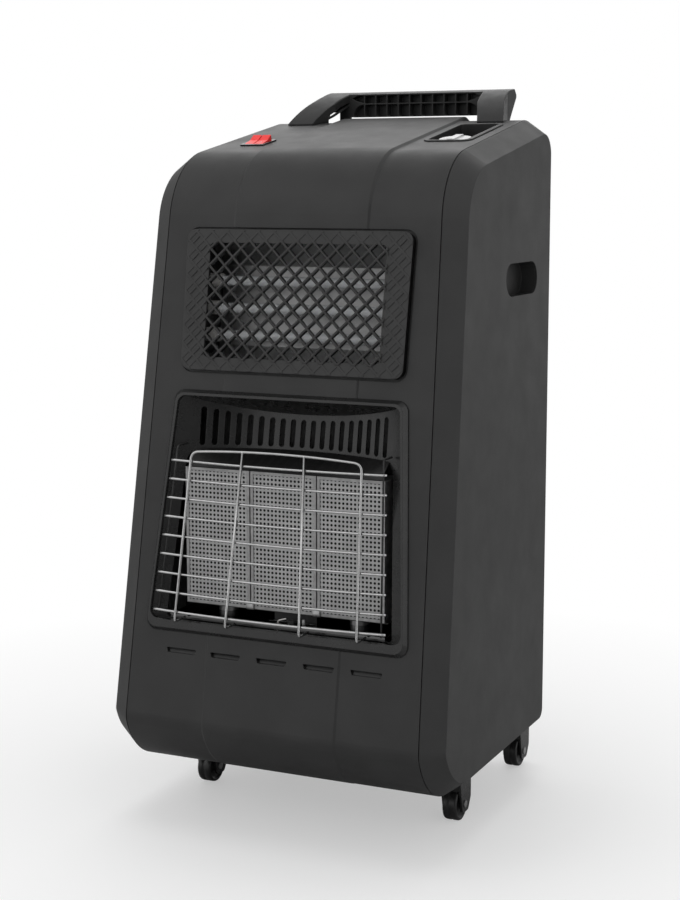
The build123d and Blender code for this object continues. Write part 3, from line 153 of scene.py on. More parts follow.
def finish(name, ownLook):
    # colour clouds, specks, smudges in the gloss, a fine grain, a slow wave and worn edges
    look = {**plainLook, "speckColour": ownLook["light"], "wornColour": ownLook["light"], **ownLook}
    material, tree = emptyMaterial(name)
    place = objectPlace(tree, look["stretch"])
    still = objectPlace(tree)
    colour = cloudedColour(tree, still, look)
    speck = noise(tree, place, look["speck"], detail=2)
    speck = spread(tree, speck, noiseSpan["speck"], (0, look["speckShare"]))
    colour = mixColour(tree, speck, colour, look["speckColour"])
    smudge = noise(tree, place, look["smudge"], detail=5, rough=0.6)
    soft, edge = edgeShare(tree, look["edge"])
    if "sideShade" in look:
        colour = sideShaded(tree, colour, look["sideShade"])
    wear = noise(tree, still, look["wear"], detail=4)
    worn = maths(tree, "MULTIPLY", edge,
                 spread(tree, wear, noiseSpan["wear"], (look["leastWorn"], look["worn"])))
    normal = bump(tree, noise(tree, still, look["wave"], detail=2), look["waveDeep"], soft)
    normal = bump(tree, noise(tree, place, look["grain"]), look["grainDeep"], normal)
    shader = addNode(tree, "BsdfPrincipled", None, {
        "Base Color": mixColour(tree, worn, colour, look["wornColour"]), "Metallic": look["metal"],
        "Roughness": spread(tree, smudge, noiseSpan["smudge"], look["rough"]), "Normal": normal,
        "Specular IOR Level": look["shine"], "Coat Weight": look["coat"],
        "Coat Roughness": look["coatRough"], "Transmission Weight": look["clear"], "IOR": look["ior"]})
    toSurface(tree, shader)
    return material


finishes = {
    "cabinet_plastic": {"dark": grey(0.0165), "light": grey(0.021), "rough": (0.44, 0.52), "shine": 0.46,
                        "grain": 2100, "grainDeep": 0.035, "wave": 12, "waveDeep": 0.008, "smudge": 25,
                        "edge": 1.2, "worn": 0.35, "wornColour": grey(0.045), "speck": 1500,
                        "speckShare": 0.25},
    "handle_plastic": {"dark": grey(0.014), "light": grey(0.018), "rough": (0.4, 0.5), "shine": 0.3,
                       "grain": 1700, "grainDeep": 0.02, "edge": 1.5, "wornColour": grey(0.06)},
    "black_steel": {"dark": grey(0.014), "light": grey(0.02), "rough": (0.42, 0.58), "grain": 700,
                    "edge": 0.5, "worn": 0.6, "wornColour": grey(0.12)},
    "mark_white": {"dark": grey(0.5), "light": grey(0.6), "rough": (0.3, 0.45), "cloud": 900, "edge": 0.1},
    "tyre": {"dark": grey(0.007), "light": grey(0.011), "rough": (0.3, 0.45), "grain": 800,
             "grainDeep": 0.02, "edge": 0.6, "wornColour": grey(0.05)},
    "hood": {"dark": grey(0.018), "light": grey(0.026), "rough": (0.3, 0.42), "metal": 0.5, "grain": 700,
             "grainDeep": 0.02, "edge": 0.3, "worn": 0.6, "wornColour": grey(0.1)},
    "bright_steel": {"dark": grey(0.48, 0.01), "light": grey(0.6, 0.01), "rough": (0.3, 0.48), "metal": 1.0,
                     "cloud": 160, "grain": 300, "grainDeep": 0.01, "edge": 0.5, "stretch": (1, 1, 12)},
    "grille_paint": {"dark": grey(0.013), "light": grey(0.018), "rough": (0.34, 0.45), "grain": 900,
                     "grainDeep": 0.02, "wornColour": grey(0.05), "sideShade": grey(0.002)},
    "reflector": {"dark": grey(0.5), "light": grey(0.6), "rough": (0.4, 0.5), "metal": 1.0, "cloud": 30,
                  "grain": 400, "grainDeep": 0.006, "stretch": (0.05, 1, 1), "edge": 0.3},
    "quartz": {"dark": grey(0.86, -0.02), "light": grey(0.96, -0.02), "rough": (0.14, 0.26), "grain": 500,
               "grainDeep": 0.01, "clear": 0.12, "ior": 1.46, "edge": 0.3},
    "element_wire": {"dark": grey(0.16, 0.06), "light": grey(0.3, 0.04), "rough": (0.35, 0.55),
                     "metal": 0.85, "cloud": 300, "edge": 0.1},
    "white_ceramic": {"dark": grey(0.62, 0.03), "light": grey(0.72, 0.02), "rough": (0.35, 0.5),
                      "cloud": 120, "grain": 1200, "edge": 0.5},
    "gloss_black": {"dark": grey(0.011), "light": grey(0.015), "rough": (0.24, 0.32), "grain": 300,
                    "grainDeep": 0.004, "wave": 16, "worn": 0.16, "wornColour": grey(0.022),
                    "speckShare": 0.05},
    "tray_mirror": {"dark": grey(0.15), "light": grey(0.19), "rough": (0.06, 0.12), "metal": 1.0,
                    "cloud": 30, "grain": 300, "grainDeep": 0.003, "wave": 16, "waveDeep": 0.03,
                    "edge": 0.4},
    "sooted_sheet": {"dark": grey(0.03), "light": grey(0.06), "rough": (0.45, 0.6), "metal": 0.6,
                     "cloud": 40, "grain": 500, "grainDeep": 0.01, "edge": 0.3},
    # the guard's end rods: the wire made near black, painted shade for rods that lie in shadow behind the
    # rows' ends
    "rod_painted_shade": {"dark": grey(0.02), "light": grey(0.04), "rough": (0.35, 0.5), "metal": 0.4,
                  "cloud": 200, "edge": 0.1},
    "burner_steel": {"dark": grey(0.34), "light": grey(0.46), "rough": (0.34, 0.5), "metal": 0.9,
                     "cloud": 140, "grain": 500, "grainDeep": 0.01, "edge": 0.4},
    "chromed_wire": {"dark": grey(0.5), "light": grey(0.6), "rough": (0.12, 0.2), "metal": 1.0,
                     "cloud": 200, "grain": 600, "grainDeep": 0.004, "edge": 0.2},
    # the beads where the uprights meet the rows: a darker grey than the chrome wire
    "dark_crossing_beads": {"dark": grey(0.05), "light": grey(0.22), "rough": (0.3, 0.5), "metal": 0.9,
                   "cloud": 700, "edge": 0.2},
    "knob_silver": {"dark": grey(0.6), "light": grey(0.7), "rough": (0.3, 0.4), "metal": 0.35,
                    "cloud": 90, "grain": 1500, "grainDeep": 0.006, "edge": 0.5},
    "brass": {"dark": (0.42, 0.27, 0.09, 1), "light": (0.56, 0.38, 0.14, 1), "rough": (0.24, 0.42),
              "metal": 1.0, "cloud": 120, "grain": 900, "grainDeep": 0.008, "edge": 0.5},
    "pipe_metal": {"dark": grey(0.5), "light": grey(0.62), "rough": (0.26, 0.42), "metal": 1.0,
                   "cloud": 90, "grain": 800, "grainDeep": 0.008, "edge": 0.3},
    "rocker_red": {"dark": (0.82, 0.02, 0.02, 1), "light": (0.92, 0.035, 0.03, 1), "rough": (0.3, 0.4),
                   "cloud": 120, "coat": 0.05, "shine": 0.3, "grain": 900, "grainDeep": 0.006,
                   "edge": 0.6, "worn": 0.3, "wornColour": (0.85, 0.18, 0.15, 1)},
    "black_plastic": {"dark": grey(0.008), "light": grey(0.012), "rough": (0.22, 0.34), "grain": 900,
                      "grainDeep": 0.015, "worn": 0.4, "wornColour": grey(0.04)},
    "axle_steel": {"dark": grey(0.36), "light": grey(0.5), "rough": (0.25, 0.4), "metal": 1.0,
                   "edge": 0.4},
}

# tile, pitches, hole (radius, then the end of its soft rim) and the pattern's middle height in millimetres
# the flame holes' near-black colour is painted shade for the dark inside of each hole
plaqueLook = {"dark": grey(0.34), "light": grey(0.42), "rough": (0.75, 0.9), "cloud": 60, "speck": 1600,
              "speckShare": 0.6, "speckColour": grey(0.5), "smudge": 60, "grain": 2600, "grainDeep": 0.05,
              "shine": 0.2, "paintedHoleShade": grey(0.006), "tile": 82.0, "pitch": (4.7, 5.0), "middle": 334.0,
              "hole": (1.3, 1.6)}


def repeated(tree, value, pitch):
    # the distance to the nearest whole number of pitches, with its sign
    return maths(tree, "WRAP", value, pitch * mm / 2, -pitch * mm / 2)


def plaqueFinish(look):
    # grey ceramic with painted shade at every flame hole: a near-black spot stands in for the dark inside of
    # the hole; the spots follow the hole pitch of the tiles
    material, tree = emptyMaterial("plaque_holes")
    place = objectPlace(tree)
    split = addNode(tree, "SeparateXYZ", None, {0: place})
    inTile = repeated(tree, split.outputs["X"], look["tile"])
    rise = maths(tree, "SUBTRACT", split.outputs["Z"], look["middle"] * mm)
    away = addNode(tree, "CombineXYZ", None, {0: repeated(tree, inTile, look["pitch"][0]),
                                              1: repeated(tree, rise, look["pitch"][1])}).outputs[0]
    rim = [radius * mm for radius in look["hole"]]
    # where the flame holes lie; there the painted hole shade replaces the ceramic colour
    hole = spread(tree, lengthOf(tree, away), rim, (1, 0))
    speck = spread(tree, noise(tree, place, look["speck"], detail=2), noiseSpan["fineSpeck"],
                   (0, look["speckShare"]))
    colour = mixColour(tree, speck, cloudedColour(tree, place, look), look["speckColour"])
    smudge = noise(tree, place, look["smudge"], detail=4)
    shader = addNode(tree, "BsdfPrincipled", None, {
        "Base Color": mixColour(tree, hole, colour, look["paintedHoleShade"]), "Specular IOR Level": look["shine"],
        "Roughness": spread(tree, smudge, noiseSpan["smudge"], look["rough"]),
        "Normal": bump(tree, noise(tree, place, look["grain"]), look["grainDeep"])})
    toSurface(tree, shader)
    return material


madeFinishes = {name: finish(name, look) for name, look in finishes.items()}
madeFinishes["plaque_ceramic"] = plaqueFinish(plaqueLook)
nodeFinishes = {part["node"]: part["material_slot"] for part in frame["record"]["subparts"]}
nodeFinishes.update({"reflecting_tray": "tray_mirror", "heat_shield": "sooted_sheet",
                     "pilot_burner": "sooted_sheet", "injector_manifold": "sooted_sheet",
                     "burner_chassis": "black_steel"})
for nodeName, cadObject in cadNodes.items():
    for materialSlot in cadObject.material_slots:
        materialSlot.material = madeFinishes[nodeFinishes[nodeName]]
print("finishes", len(madeFinishes))

cameraView = {"azimuth": 24.678, "pitch": 8.668, "place": (0.8477, -1.8673, 0.7271), "lens": 69.84,
              "tall": 36.0}


def placeCamera(view):
    # azimuth is measured from the front towards the right, pitch downwards
    camera = bpy.data.objects.new("camera", bpy.data.cameras.new("camera"))
    camera.data.sensor_fit = "VERTICAL"
    camera.data.sensor_height = view["tall"]
    camera.data.lens = view["lens"]
    camera.location = view["place"]
    across = radians(view["azimuth"])
    down = radians(view["pitch"])
    forward = Vector((-sin(across) * cos(down), cos(across) * cos(down), -sin(down)))
    camera.rotation_euler = forward.to_track_quat("-Z", "Y").to_euler()
    scene.collection.objects.link(camera)
    scene.camera = camera


skyLook = {"ambient": 0.55, "backdrop": 1.0}


def studioSky(look):
    # the eye, mirrors and glass see a white backdrop; everything else gets the ambient level
    world = bpy.data.worlds.new("studio")
    scene.world = world
    world.use_nodes = True
    tree = world.node_tree
    tree.nodes.clear()
    path = addNode(tree, "LightPath")
    seen = maths(tree, "MAXIMUM", path.outputs["Is Camera Ray"], path.outputs["Is Glossy Ray"])
    seen = maths(tree, "MAXIMUM", seen, path.outputs["Is Transmission Ray"])
    level = spread(tree, seen, (0, 1), (look["ambient"], look["backdrop"]))
    sky = addNode(tree, "Background", None, {"Color": (1, 1, 1, 1), "Strength": level})
    tree.links.new(sky.outputs[0], addNode(tree, "OutputWorld").inputs[0])


lamps = {
    "top_box": {"place": (-0.3, 0.3, 2.4), "aim": (0, 0, 0.6), "size": (1.8, 1.8), "power": 21},
    "right_box": {"place": (1.9, -1.9, 1.2), "aim": (0, 0, 0.4), "size": (1.4, 1.8), "power": 7},
    "front_box": {"place": (0.5, -2.7, 1.5), "aim": (0, 0, 0.4), "size": (1.4, 1.4), "power": 7},
}


def areaLamp(name, place, aim, size, power):
    # a soft box that no mirror shows, because the cards make the reflections
    lamp = bpy.data.lights.new(name, "AREA")
    lamp.shape = "RECTANGLE"
    lamp.size, lamp.size_y = size
    lamp.energy = power
    holder = bpy.data.objects.new(name, lamp)
    holder.location = place
    holder.rotation_euler = (Vector(aim) - Vector(place)).to_track_quat("-Z", "Y").to_euler()
    holder.visible_glossy = False
    scene.collection.objects.link(holder)


placeCamera(cameraView)
studioSky(skyLook)
for lampName, lampLook in lamps.items():
    areaLamp(lampName, **lampLook)
print("camera, sky and", len(lamps), "lamps")


def quadsOf(rows, columns, wrap=False):
    # index quads of a grid; wrap joins its last column to the first
    index = np.arange(rows * columns).reshape(rows, columns)
    if wrap:
        index = np.hstack([index, index[:, :1]])
    return np.stack([index[:-1, :-1], index[:-1, 1:], index[1:, 1:], index[1:, :-1]], -1).reshape(-1, 4)


def facesMesh(name, points, quads, smooth=True):
    mesh = bpy.data.meshes.new(name)
    mesh.from_pydata(points.tolist(), [], quads.tolist())
    mesh.polygons.foreach_set("use_smooth", np.full(len(mesh.polygons), smooth))
    mesh.update()
    return mesh


def gridMesh(name, points, smooth=True):
    # points is a rows by columns by 3 array in metres; neighbours in both directions make the faces
    return facesMesh(name, points.reshape(-1, 3), quadsOf(*points.shape[:2]), smooth)


def weldPoles(mesh):
    # the collapsed rings at the ends of a tube become single points, and faces turn outwards
    shape = bmesh.new()
    shape.from_mesh(mesh)
    bmesh.ops.remove_doubles(shape, verts=shape.verts, dist=1e-7)
    bmesh.ops.dissolve_degenerate(shape, dist=1e-8, edges=shape.edges)
    bmesh.ops.recalc_face_normals(shape, faces=shape.faces)
    shape.to_mesh(mesh)
    shape.free()
    return mesh


def joined(name, grids, wrap=True, smooth=True):
    # several grids of points in millimetres become one mesh in metres
    points, quads, count = [], [], 0
    for grid in grids:
        rows, columns = grid.shape[:2]
        quads.append(quadsOf(rows, columns, wrap) + count)
        points.append(grid.reshape(-1, 3))
        count += rows * columns
    return weldPoles(facesMesh(name, np.vstack(points) * mm, np.vstack(quads), smooth))


def addPiece(name, mesh, material):
    piece = bpy.data.objects.new(name, mesh)
    mesh.materials.append(material)
    scene.collection.objects.link(piece)
    return piece


def thicken(piece, thickness, offset=-1.0):
    # a wall behind the faces, or on both sides of them at offset 0
    wall = piece.modifiers.new("thick", "SOLIDIFY")
    wall.thickness = thickness * mm
    wall.offset = offset


def unit(vectors):
    return vectors / np.linalg.norm(vectors, axis=-1, keepdims=True)


def tubeGrid(path, radius, sides=14, aside=(0.51, 0.6, 0.62)):
    # a round section carried along the path, closed on its end points; no path runs along aside
    path = np.asarray(path, float)
    ahead = unit(np.gradient(path, axis=0))
    across = unit(np.cross(ahead, aside))
    upward = np.cross(across, ahead)
    turn = np.linspace(0, 2 * pi, sides, endpoint=False)[:, None]
    ring = across[:, None] * np.cos(turn) + upward[:, None] * np.sin(turn)
    body = path[:, None] + radius * ring
    start = path[:1, None] + 0 * body[:1]
    end = path[-1:, None] + 0 * body[:1]
    return np.concatenate([start, body, end])


def bentPath(corners, bends, steps=8):
    # straight runs between corners, with a quadratic curve of the given reach at each inner corner
    corners = np.asarray(corners, float)
    runs = [corners[:1]]
    share = np.linspace(0, 1, steps)[:, None]
    for before, corner, after, bend in zip(corners, corners[1:], corners[2:], bends):
        start = corner + unit(before - corner) * bend
        end = corner + unit(after - corner) * bend
        runs.append((1 - share) ** 2 * start + 2 * share * (1 - share) * corner + share ** 2 * end)
    runs.append(corners[-1:])
    return np.vstack(runs)


# half and fade in metres: the floor turns white to the eye between the two fade radii
floorLook = {"half": 9.0, "cells": 24, "colour": 0.92, "uneven": 0.01, "cloud": 3.0, "fade": (0.3, 0.95),
             "lift": 0.42, "mirrored": 0.55, "rough": 0.6, "shine": 0.25}


def floorSheet(look):
    # a flat square grid: pale paint that keeps the shadow near the object, plain white further out
    side = np.linspace(-look["half"], look["half"], look["cells"])
    x, y = np.meshgrid(side, side)
    material, tree = emptyMaterial("floor")
    place = objectPlace(tree)
    path = addNode(tree, "LightPath")
    tint = spread(tree, noise(tree, place, look["cloud"]), noiseSpan["smudge"],
                  (look["colour"] - look["uneven"], look["colour"] + look["uneven"]))
    dimmed = spread(tree, path.outputs["Is Glossy Ray"], (0, 1), (1, look["mirrored"]))
    tint = maths(tree, "MULTIPLY", tint, dimmed)
    colour = addNode(tree, "CombineColor", None, {0: tint, 1: tint, 2: tint}).outputs[0]
    paint = addNode(tree, "BsdfPrincipled", None, {"Base Color": colour, "Roughness": look["rough"],
                                                   "Specular IOR Level": look["shine"]})
    fade = spread(tree, lengthOf(tree, place), look["fade"], (look["lift"], 1))
    fade = maths(tree, "MULTIPLY", fade, path.outputs["Is Camera Ray"])
    white = addNode(tree, "Emission", None, {"Color": (1, 1, 1, 1), "Strength": 1.0})
    toSurface(tree, addNode(tree, "MixShader", None, {0: fade, 1: paint.outputs[0], 2: white.outputs[0]}))
    return addPiece("floor", gridMesh("floor", np.stack([x, y, 0 * x], -1), smooth=False), material)


# turn in degrees from the front towards the right; radius and height in metres, at the foot and the top
cards = {
    "card_right": {"turn": (2, 48), "radius": (3.4, 3.4), "high": (0, 3.2), "level": 0.12},
    "card_edge": {"turn": (48, 100), "radius": (3.5, 3.5), "high": (0, 3.2), "level": 1.0},
    "card_side": {"turn": (100, 176), "radius": (3.6, 3.6), "high": (0, 3.2), "level": 0.55},
    "card_left": {"turn": (-140, -90), "radius": (3.4, 3.4), "high": (0, 3.2), "level": 0.45},
    "card_back": {"turn": (-184, -142), "radius": (3.3, 3.3), "high": (0.9, 3.2), "level": 1.6},
    "card_above": {"turn": (-180, 180), "radius": (2.2, 0.05), "high": (3.6, 3.6), "level": 0.55},
}
cardCells = (40, 6)
cardUneven = {"scale": 0.8, "low": 0.8, "high": 1.2}


def standingCard(name, look):
    # part of an upright cylinder or cone round the object, which only mirror-like surfaces see
    bend, share = np.meshgrid(np.radians(np.linspace(*look["turn"], cardCells[0])),
                              np.linspace(0, 1, cardCells[1]), indexing="ij")
    radius = look["radius"][0] + (look["radius"][1] - look["radius"][0]) * share
    rise = look["high"][0] + (look["high"][1] - look["high"][0]) * share
    points = np.stack([radius * np.sin(bend), -radius * np.cos(bend), rise], -1)
    material, tree = emptyMaterial(name)
    shade = spread(tree, noise(tree, objectPlace(tree), cardUneven["scale"], detail=2), noiseSpan["smudge"],
                   (look["level"] * cardUneven["low"], look["level"] * cardUneven["high"]))
    toSurface(tree, addNode(tree, "Emission", None, {"Color": (1, 1, 1, 1), "Strength": shade}))
    card = addPiece(name, gridMesh(name, points), material)
    card.visible_camera = card.visible_diffuse = card.visible_shadow = card.visible_transmission = False
    return card


floor = floorSheet(floorLook)
for cardName, cardShape in cards.items():
    card = standingCard(cardName, cardShape)
print("floor and", len(cards), "cards")

# the cabinet's leaning front: Y at the floor, and how much Y grows for each unit of Z
frontLook = {"foot": -236.8, "lean": 0.162}
frontSize = (1 + frontLook["lean"] ** 2) ** 0.5


def frontAt(z):
    # Y of the leaning front at a height
    return frontLook["foot"] + frontLook["lean"] * z


def alongFront(z):
    # distance up the leaning front for a height
    return z * frontSize


# half and posts are distances from the middle; spread is how far an upright leans out for each unit down
guardLook = {"wire": 1.45, "low": 255.0, "high": 421.3, "rows": 9, "half": (141.5, 131.0), "bow": 9.0,
             "proud": 19.5, "posts": (38.0, 104.0), "spread": 0.04, "foot": 244.9, "footBend": 5.0,
             "hook": 24.0, "arch": 432.5, "archIn": 16.0, "crown": 5.0, "innerShare": 0.86, "bend": 9.0,
             "sink": 0.3, "rowSteps": 60, "archSteps": 41}
rodLook = {"wire": 1.1, "sink": 0.5, "in": 5.5, "low": 251.0, "high": 437.0, "back": 22.0, "bend": 4.0}
weldLook = {"radius": 2.3, "stretch": (1.15, 0.6, 0.75), "cells": (7, 10)}


def guardHalf(z):
    # half the guard's width at a height, by a straight line through the lowest and highest rows
    share = (z - guardLook["low"]) / (guardLook["high"] - guardLook["low"])
    return guardLook["half"][0] + share * (guardLook["half"][1] - guardLook["half"][0])


def guardAt(x, z):
    # Y of the rows, which bow forward by a parabola
    return frontAt(z) - guardLook["proud"] - guardLook["bow"] * (1 - (x / guardHalf(z)) ** 2)


def postAt(x, z):
    # a point on an upright, just in front of the rows; x is its place at the highest row
    x = x + np.sign(x) * guardLook["spread"] * (guardLook["high"] - z)
    return np.stack([x, guardAt(x, z) - 2 * guardLook["wire"] + guardLook["sink"], z + 0 * x], -1)


def guardGrids():
    # each row is a parabola in plan; uprights are straight tubes with hooked feet, and a low parabola
    # arches over from one outer upright to the other
    look = guardLook
    inner, outer = look["posts"]
    grids, welds = [], []
    for z in np.linspace(look["low"], look["high"], look["rows"]):
        x = np.linspace(-guardHalf(z), guardHalf(z), look["rowSteps"])
        grids.append(tubeGrid(np.stack([x, guardAt(x, z), z + 0 * x], -1), look["wire"]))
        for post in (-outer, -inner, inner, outer):
            welds.append(postAt(post, z) + np.array([0, look["wire"], 0]))
    hook = np.array([0, look["hook"], 0])
    archX = np.linspace(look["archIn"] - outer, outer - look["archIn"], look["archSteps"])
    archZ = look["arch"] + look["crown"] * (1 - (archX / outer) ** 2)
    arch = np.stack([archX, guardAt(archX, archZ) - 2 * look["wire"] + look["sink"], archZ], -1)
    halves = []
    for side, archEnd in ((-1, arch[0]), (1, arch[-1])):
        foot = postAt(side * outer, look["foot"])
        top = postAt(side * outer, look["arch"])
        halves.append(bentPath([foot + hook, foot, top, archEnd], [look["footBend"], look["bend"]]))
    grids.append(tubeGrid(np.vstack([halves[0][:-1], arch, halves[1][::-1][1:]]), look["wire"]))
    for side in (-1, 1):
        foot = postAt(side * inner, look["foot"])
        top = postAt(side * inner, look["arch"] + look["innerShare"] * look["crown"])
        grids.append(tubeGrid(bentPath([foot + hook, foot, top], [look["footBend"]]), look["wire"]))
    return grids, welds


def rodGrid(side):
    # the rod behind the ends of the rows, which turns back to the concave wall at its top; its near-black
    # finish is painted shade
    look = rodLook
    ends = []
    for half, z in zip(guardLook["half"], (look["low"], look["high"])):
        x = side * (half - look["in"])
        ends.append((x, guardAt(x, z) + guardLook["wire"] + look["wire"] - look["sink"], z))
    back = np.array([0, look["back"], 0])
    return tubeGrid(bentPath([ends[0], ends[1], ends[1] + back], [look["bend"]]), look["wire"])


def weldGrid(centre):
    # a small flattened bead: an ellipsoid in two angles
    up, turn = np.meshgrid(np.linspace(0, pi, weldLook["cells"][0]),
                           np.linspace(0, 2 * pi, weldLook["cells"][1], endpoint=False), indexing="ij")
    ball = np.stack([np.sin(up) * np.cos(turn), np.cos(up), np.sin(up) * np.sin(turn)], -1)
    return centre + weldLook["radius"] * ball * weldLook["stretch"]


wireGrids, weldSpots = guardGrids()
guardWires = addPiece("guard_wires", joined("guard_wires", wireGrids), madeFinishes["chromed_wire"])
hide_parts("wire_guard")
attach(guardWires, "cabinet")
guardRods = addPiece("guard_rods", joined("guard_rods", [rodGrid(-1), rodGrid(1)]),
                     madeFinishes["rod_painted_shade"])
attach(guardRods, "cabinet")
guardWelds = addPiece("guard_welds", joined("guard_welds", [weldGrid(spot) for spot in weldSpots]),
                      madeFinishes["dark_crossing_beads"])
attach(guardWelds, "cabinet")
print("guard", len(wireGrids), "wires,", len(weldSpots), "welds")

# half and sag are given at the lower and the upper end; both ends of the sag lie a margin further out
dishLook = {"low": 227.0, "high": 497.6, "half": (154.4, 135.4), "sag": (34.0, 43.0), "margin": 12.0,
            "lap": 2.0}


def dishAt(x, z):
    # Y of the concave wall: a circle through both sides and the deepest point, at every height
    look = dishLook
    v, low, high = alongFront(z), alongFront(look["low"]), alongFront(look["high"])
    share = (v - low + look["margin"]) / (high - low + 2 * look["margin"])
    sag = look["sag"][0] + share * (look["sag"][1] - look["sag"][0])
    half = look["half"][0] + (v - low) / (high - low) * (look["half"][1] - look["half"][0])
    deep = sag + look["lap"]
    radius = (half * half + deep * deep) / (2 * deep)
    return frontAt(z) + sag - radius + np.sqrt(np.maximum(radius * radius - x * x, 0))


# front is the Y and Z of the front edge, rear the Z of the rear one, which is wider by the share widen
hoodLook = {"half": 118.5, "front": (-172.2, 412.6), "rear": 430.6, "widen": 0.02, "lap": 0.5, "sweep": 0.8,
            "facets": 22, "rows": 7, "thick": 1.0, "crease": 0.5}


def hoodGrid(look):
    # straight rulings run from the burners' top edge to the concave wall, with a crease at every other one
    u, v = np.meshgrid(np.linspace(-1, 1, look["facets"] * 2 + 1), np.linspace(0, 1, look["rows"]))
    x = look["half"] * u
    frontY, frontZ = look["front"]
    rear = dishAt(x * (1 + look["widen"]), look["rear"]) + look["lap"]
    z = frontZ + (look["rear"] - frontZ) * v ** look["sweep"]
    z = z + look["crease"] * (np.abs(np.mod(u * look["facets"], 2) - 1) - 0.5) * np.sin(pi * v)
    return np.stack([x * (1 + look["widen"] * v), frontY + (rear - frontY) * v, z], -1)


hood = addPiece("hood_sheet", joined("hood_sheet", [hoodGrid(hoodLook)], wrap=False, smooth=False),
                madeFinishes["hood"])
thicken(hood, hoodLook["thick"], offset=0)
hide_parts("burner_hood")
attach(hood, "cabinet")
print("hood ready")

coilLook = {"half": 104.0, "radius": 2.5, "wire": 0.42, "sides": 6, "pitch": 2.9, "steps": 14,
            "heights": (623.0, 592.5, 562.0), "deep": 30.0, "aside": (1.0, 0.02, 0.03)}


def coilGrid(z):
    # a wire wound as a helix along X, its middle line lying deep behind the leaning front
    look = coilLook
    turns = 2 * look["half"] / look["pitch"]
    angle = np.linspace(0, 2 * pi * turns, int(turns * look["steps"]))
    x = np.linspace(-look["half"], look["half"], len(angle))
    y = frontAt(z) + look["deep"] / frontSize + look["radius"] * np.cos(angle)
    z = z - look["deep"] * frontLook["lean"] / frontSize + look["radius"] * np.sin(angle)
    return tubeGrid(np.stack([x, y, z], -1), look["wire"], look["sides"], look["aside"])


coils = addPiece("resistance_coils", joined("resistance_coils", [coilGrid(z) for z in coilLook["heights"]]),
                 madeFinishes["element_wire"])
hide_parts("heating_elements")
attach(coils, "cabinet")
print("coils", len(coilLook["heights"]))

# width and height are the diamonds' pitches; window holds its lower and upper Z and its half width
ridgeLook = {"low": 519.8, "high": 676.0, "half": 135.4, "frame": 6.6, "window": (534.5, 661.0, 107.5),
             "lap": 1.5, "width": 19.4, "height": 19.2, "top": 7.8, "round": 1.25, "flat": 0.6,
             "sink": 0.15, "sides": 7, "steps": 14, "shortest": 2.0, "taper": (1.5, 0.25), "bars": 18}
shortLook = {"half": 4.2, "sink": 1.3, "steps": 8, "clear": 3.0, "spots": (13, 8)}


def beadAlong(x, v, way, top):
    # a half-ellipse carried along one direction of the grille's face, smaller at its ends and closed
    # underneath by the bar it lies on
    look = ridgeLook
    turn = np.linspace(0, pi, look["sides"])
    side = np.array([-way, 1.0]) / (1 + way * way) ** 0.5
    fromEnd = np.minimum(np.arange(len(x)), np.arange(len(x))[::-1])
    taper = np.clip(fromEnd / look["taper"][0], look["taper"][1], 1)[:, None] ** 0.5
    across = taper * look["round"] * np.cos(turn)
    px = x[:, None] + side[0] * across
    pv = v[:, None] + side[1] * across
    pw = top - look["sink"] + taper * look["flat"] * look["round"] * np.sin(turn)
    y = frontLook["foot"] + (pv * frontLook["lean"] - pw) / frontSize
    z = (pv + pw * frontLook["lean"]) / frontSize
    return np.stack([px, y, z], -1)


def longBeads(middle, low, high, half, slope):
    # long beads over both families of diamond bars, cut off at the window's edges
    grids = []
    for index in range(-ridgeLook["bars"], ridgeLook["bars"]):
        crossX = (index + 0.5) * ridgeLook["width"]
        for way in (slope, -slope):
            ends = np.sort([crossX + (low - middle) / way, crossX + (high - middle) / way])
            ends = np.clip(ends, -half, half)
            if ends[1] - ends[0] > ridgeLook["shortest"]:
                x = np.linspace(ends[0], ends[1], ridgeLook["steps"])
                grids.append(beadAlong(x, middle + way * (x - crossX), way, ridgeLook["top"]))
    return grids


def shortBeads(middle, low, high, half, slope):
    # short beads of one family at the diamonds' corners, on the plate that rings the window
    plateHalf = ridgeLook["half"] - ridgeLook["frame"]
    plateLow = alongFront(ridgeLook["low"]) + ridgeLook["frame"]
    plateHigh = alongFront(ridgeLook["high"]) - ridgeLook["frame"]
    clear = shortLook["clear"]
    reachX, reachV = shortLook["spots"]
    grids = []
    for i in range(-reachX, reachX + 1):
        for j in range(-reachV, reachV + 1):
            spotX = i * ridgeLook["width"] / 2
            spotV = middle + j * ridgeLook["height"] / 2
            inWindow = abs(spotX) <= half + clear and low - clear < spotV < high + clear
            inPlate = abs(spotX) < plateHalf and plateLow < spotV < plateHigh
            if (i + j) % 2 == 0 and inPlate and not inWindow:
                x = spotX + np.linspace(-shortLook["half"], shortLook["half"], shortLook["steps"])
                grids.append(beadAlong(x, spotV + slope * (x - spotX), slope,
                                       ridgeLook["top"] - shortLook["sink"]))
    return grids


def ridgeGrids(look):
    # the window's middle, ends and half width along the leaning front, and the slope of the bars
    middle = (alongFront(look["low"]) + alongFront(look["high"])) / 2
    windowLow, windowHigh, windowHalf = look["window"]
    window = (middle, alongFront(windowLow) - look["lap"], alongFront(windowHigh) + look["lap"],
              windowHalf + look["lap"], look["height"] / look["width"])
    return longBeads(*window) + shortBeads(*window)


beads = ridgeGrids(ridgeLook)
ridges = addPiece("grille_ridges", joined("grille_ridges", beads, wrap=False),
                  madeFinishes["grille_paint"])
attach(ridges, "cabinet")
print("grille", len(beads), "ridges")

# front and rear are Y, high and low are Z
clipLook = {"x": (-41.0, 41.0), "wide": 9.0, "front": -175.6, "rear": -160.0, "high": 264.0, "low": 254.6,
            "bend": 3.0, "bendSteps": 6, "thick": 0.8, "steps": 10}


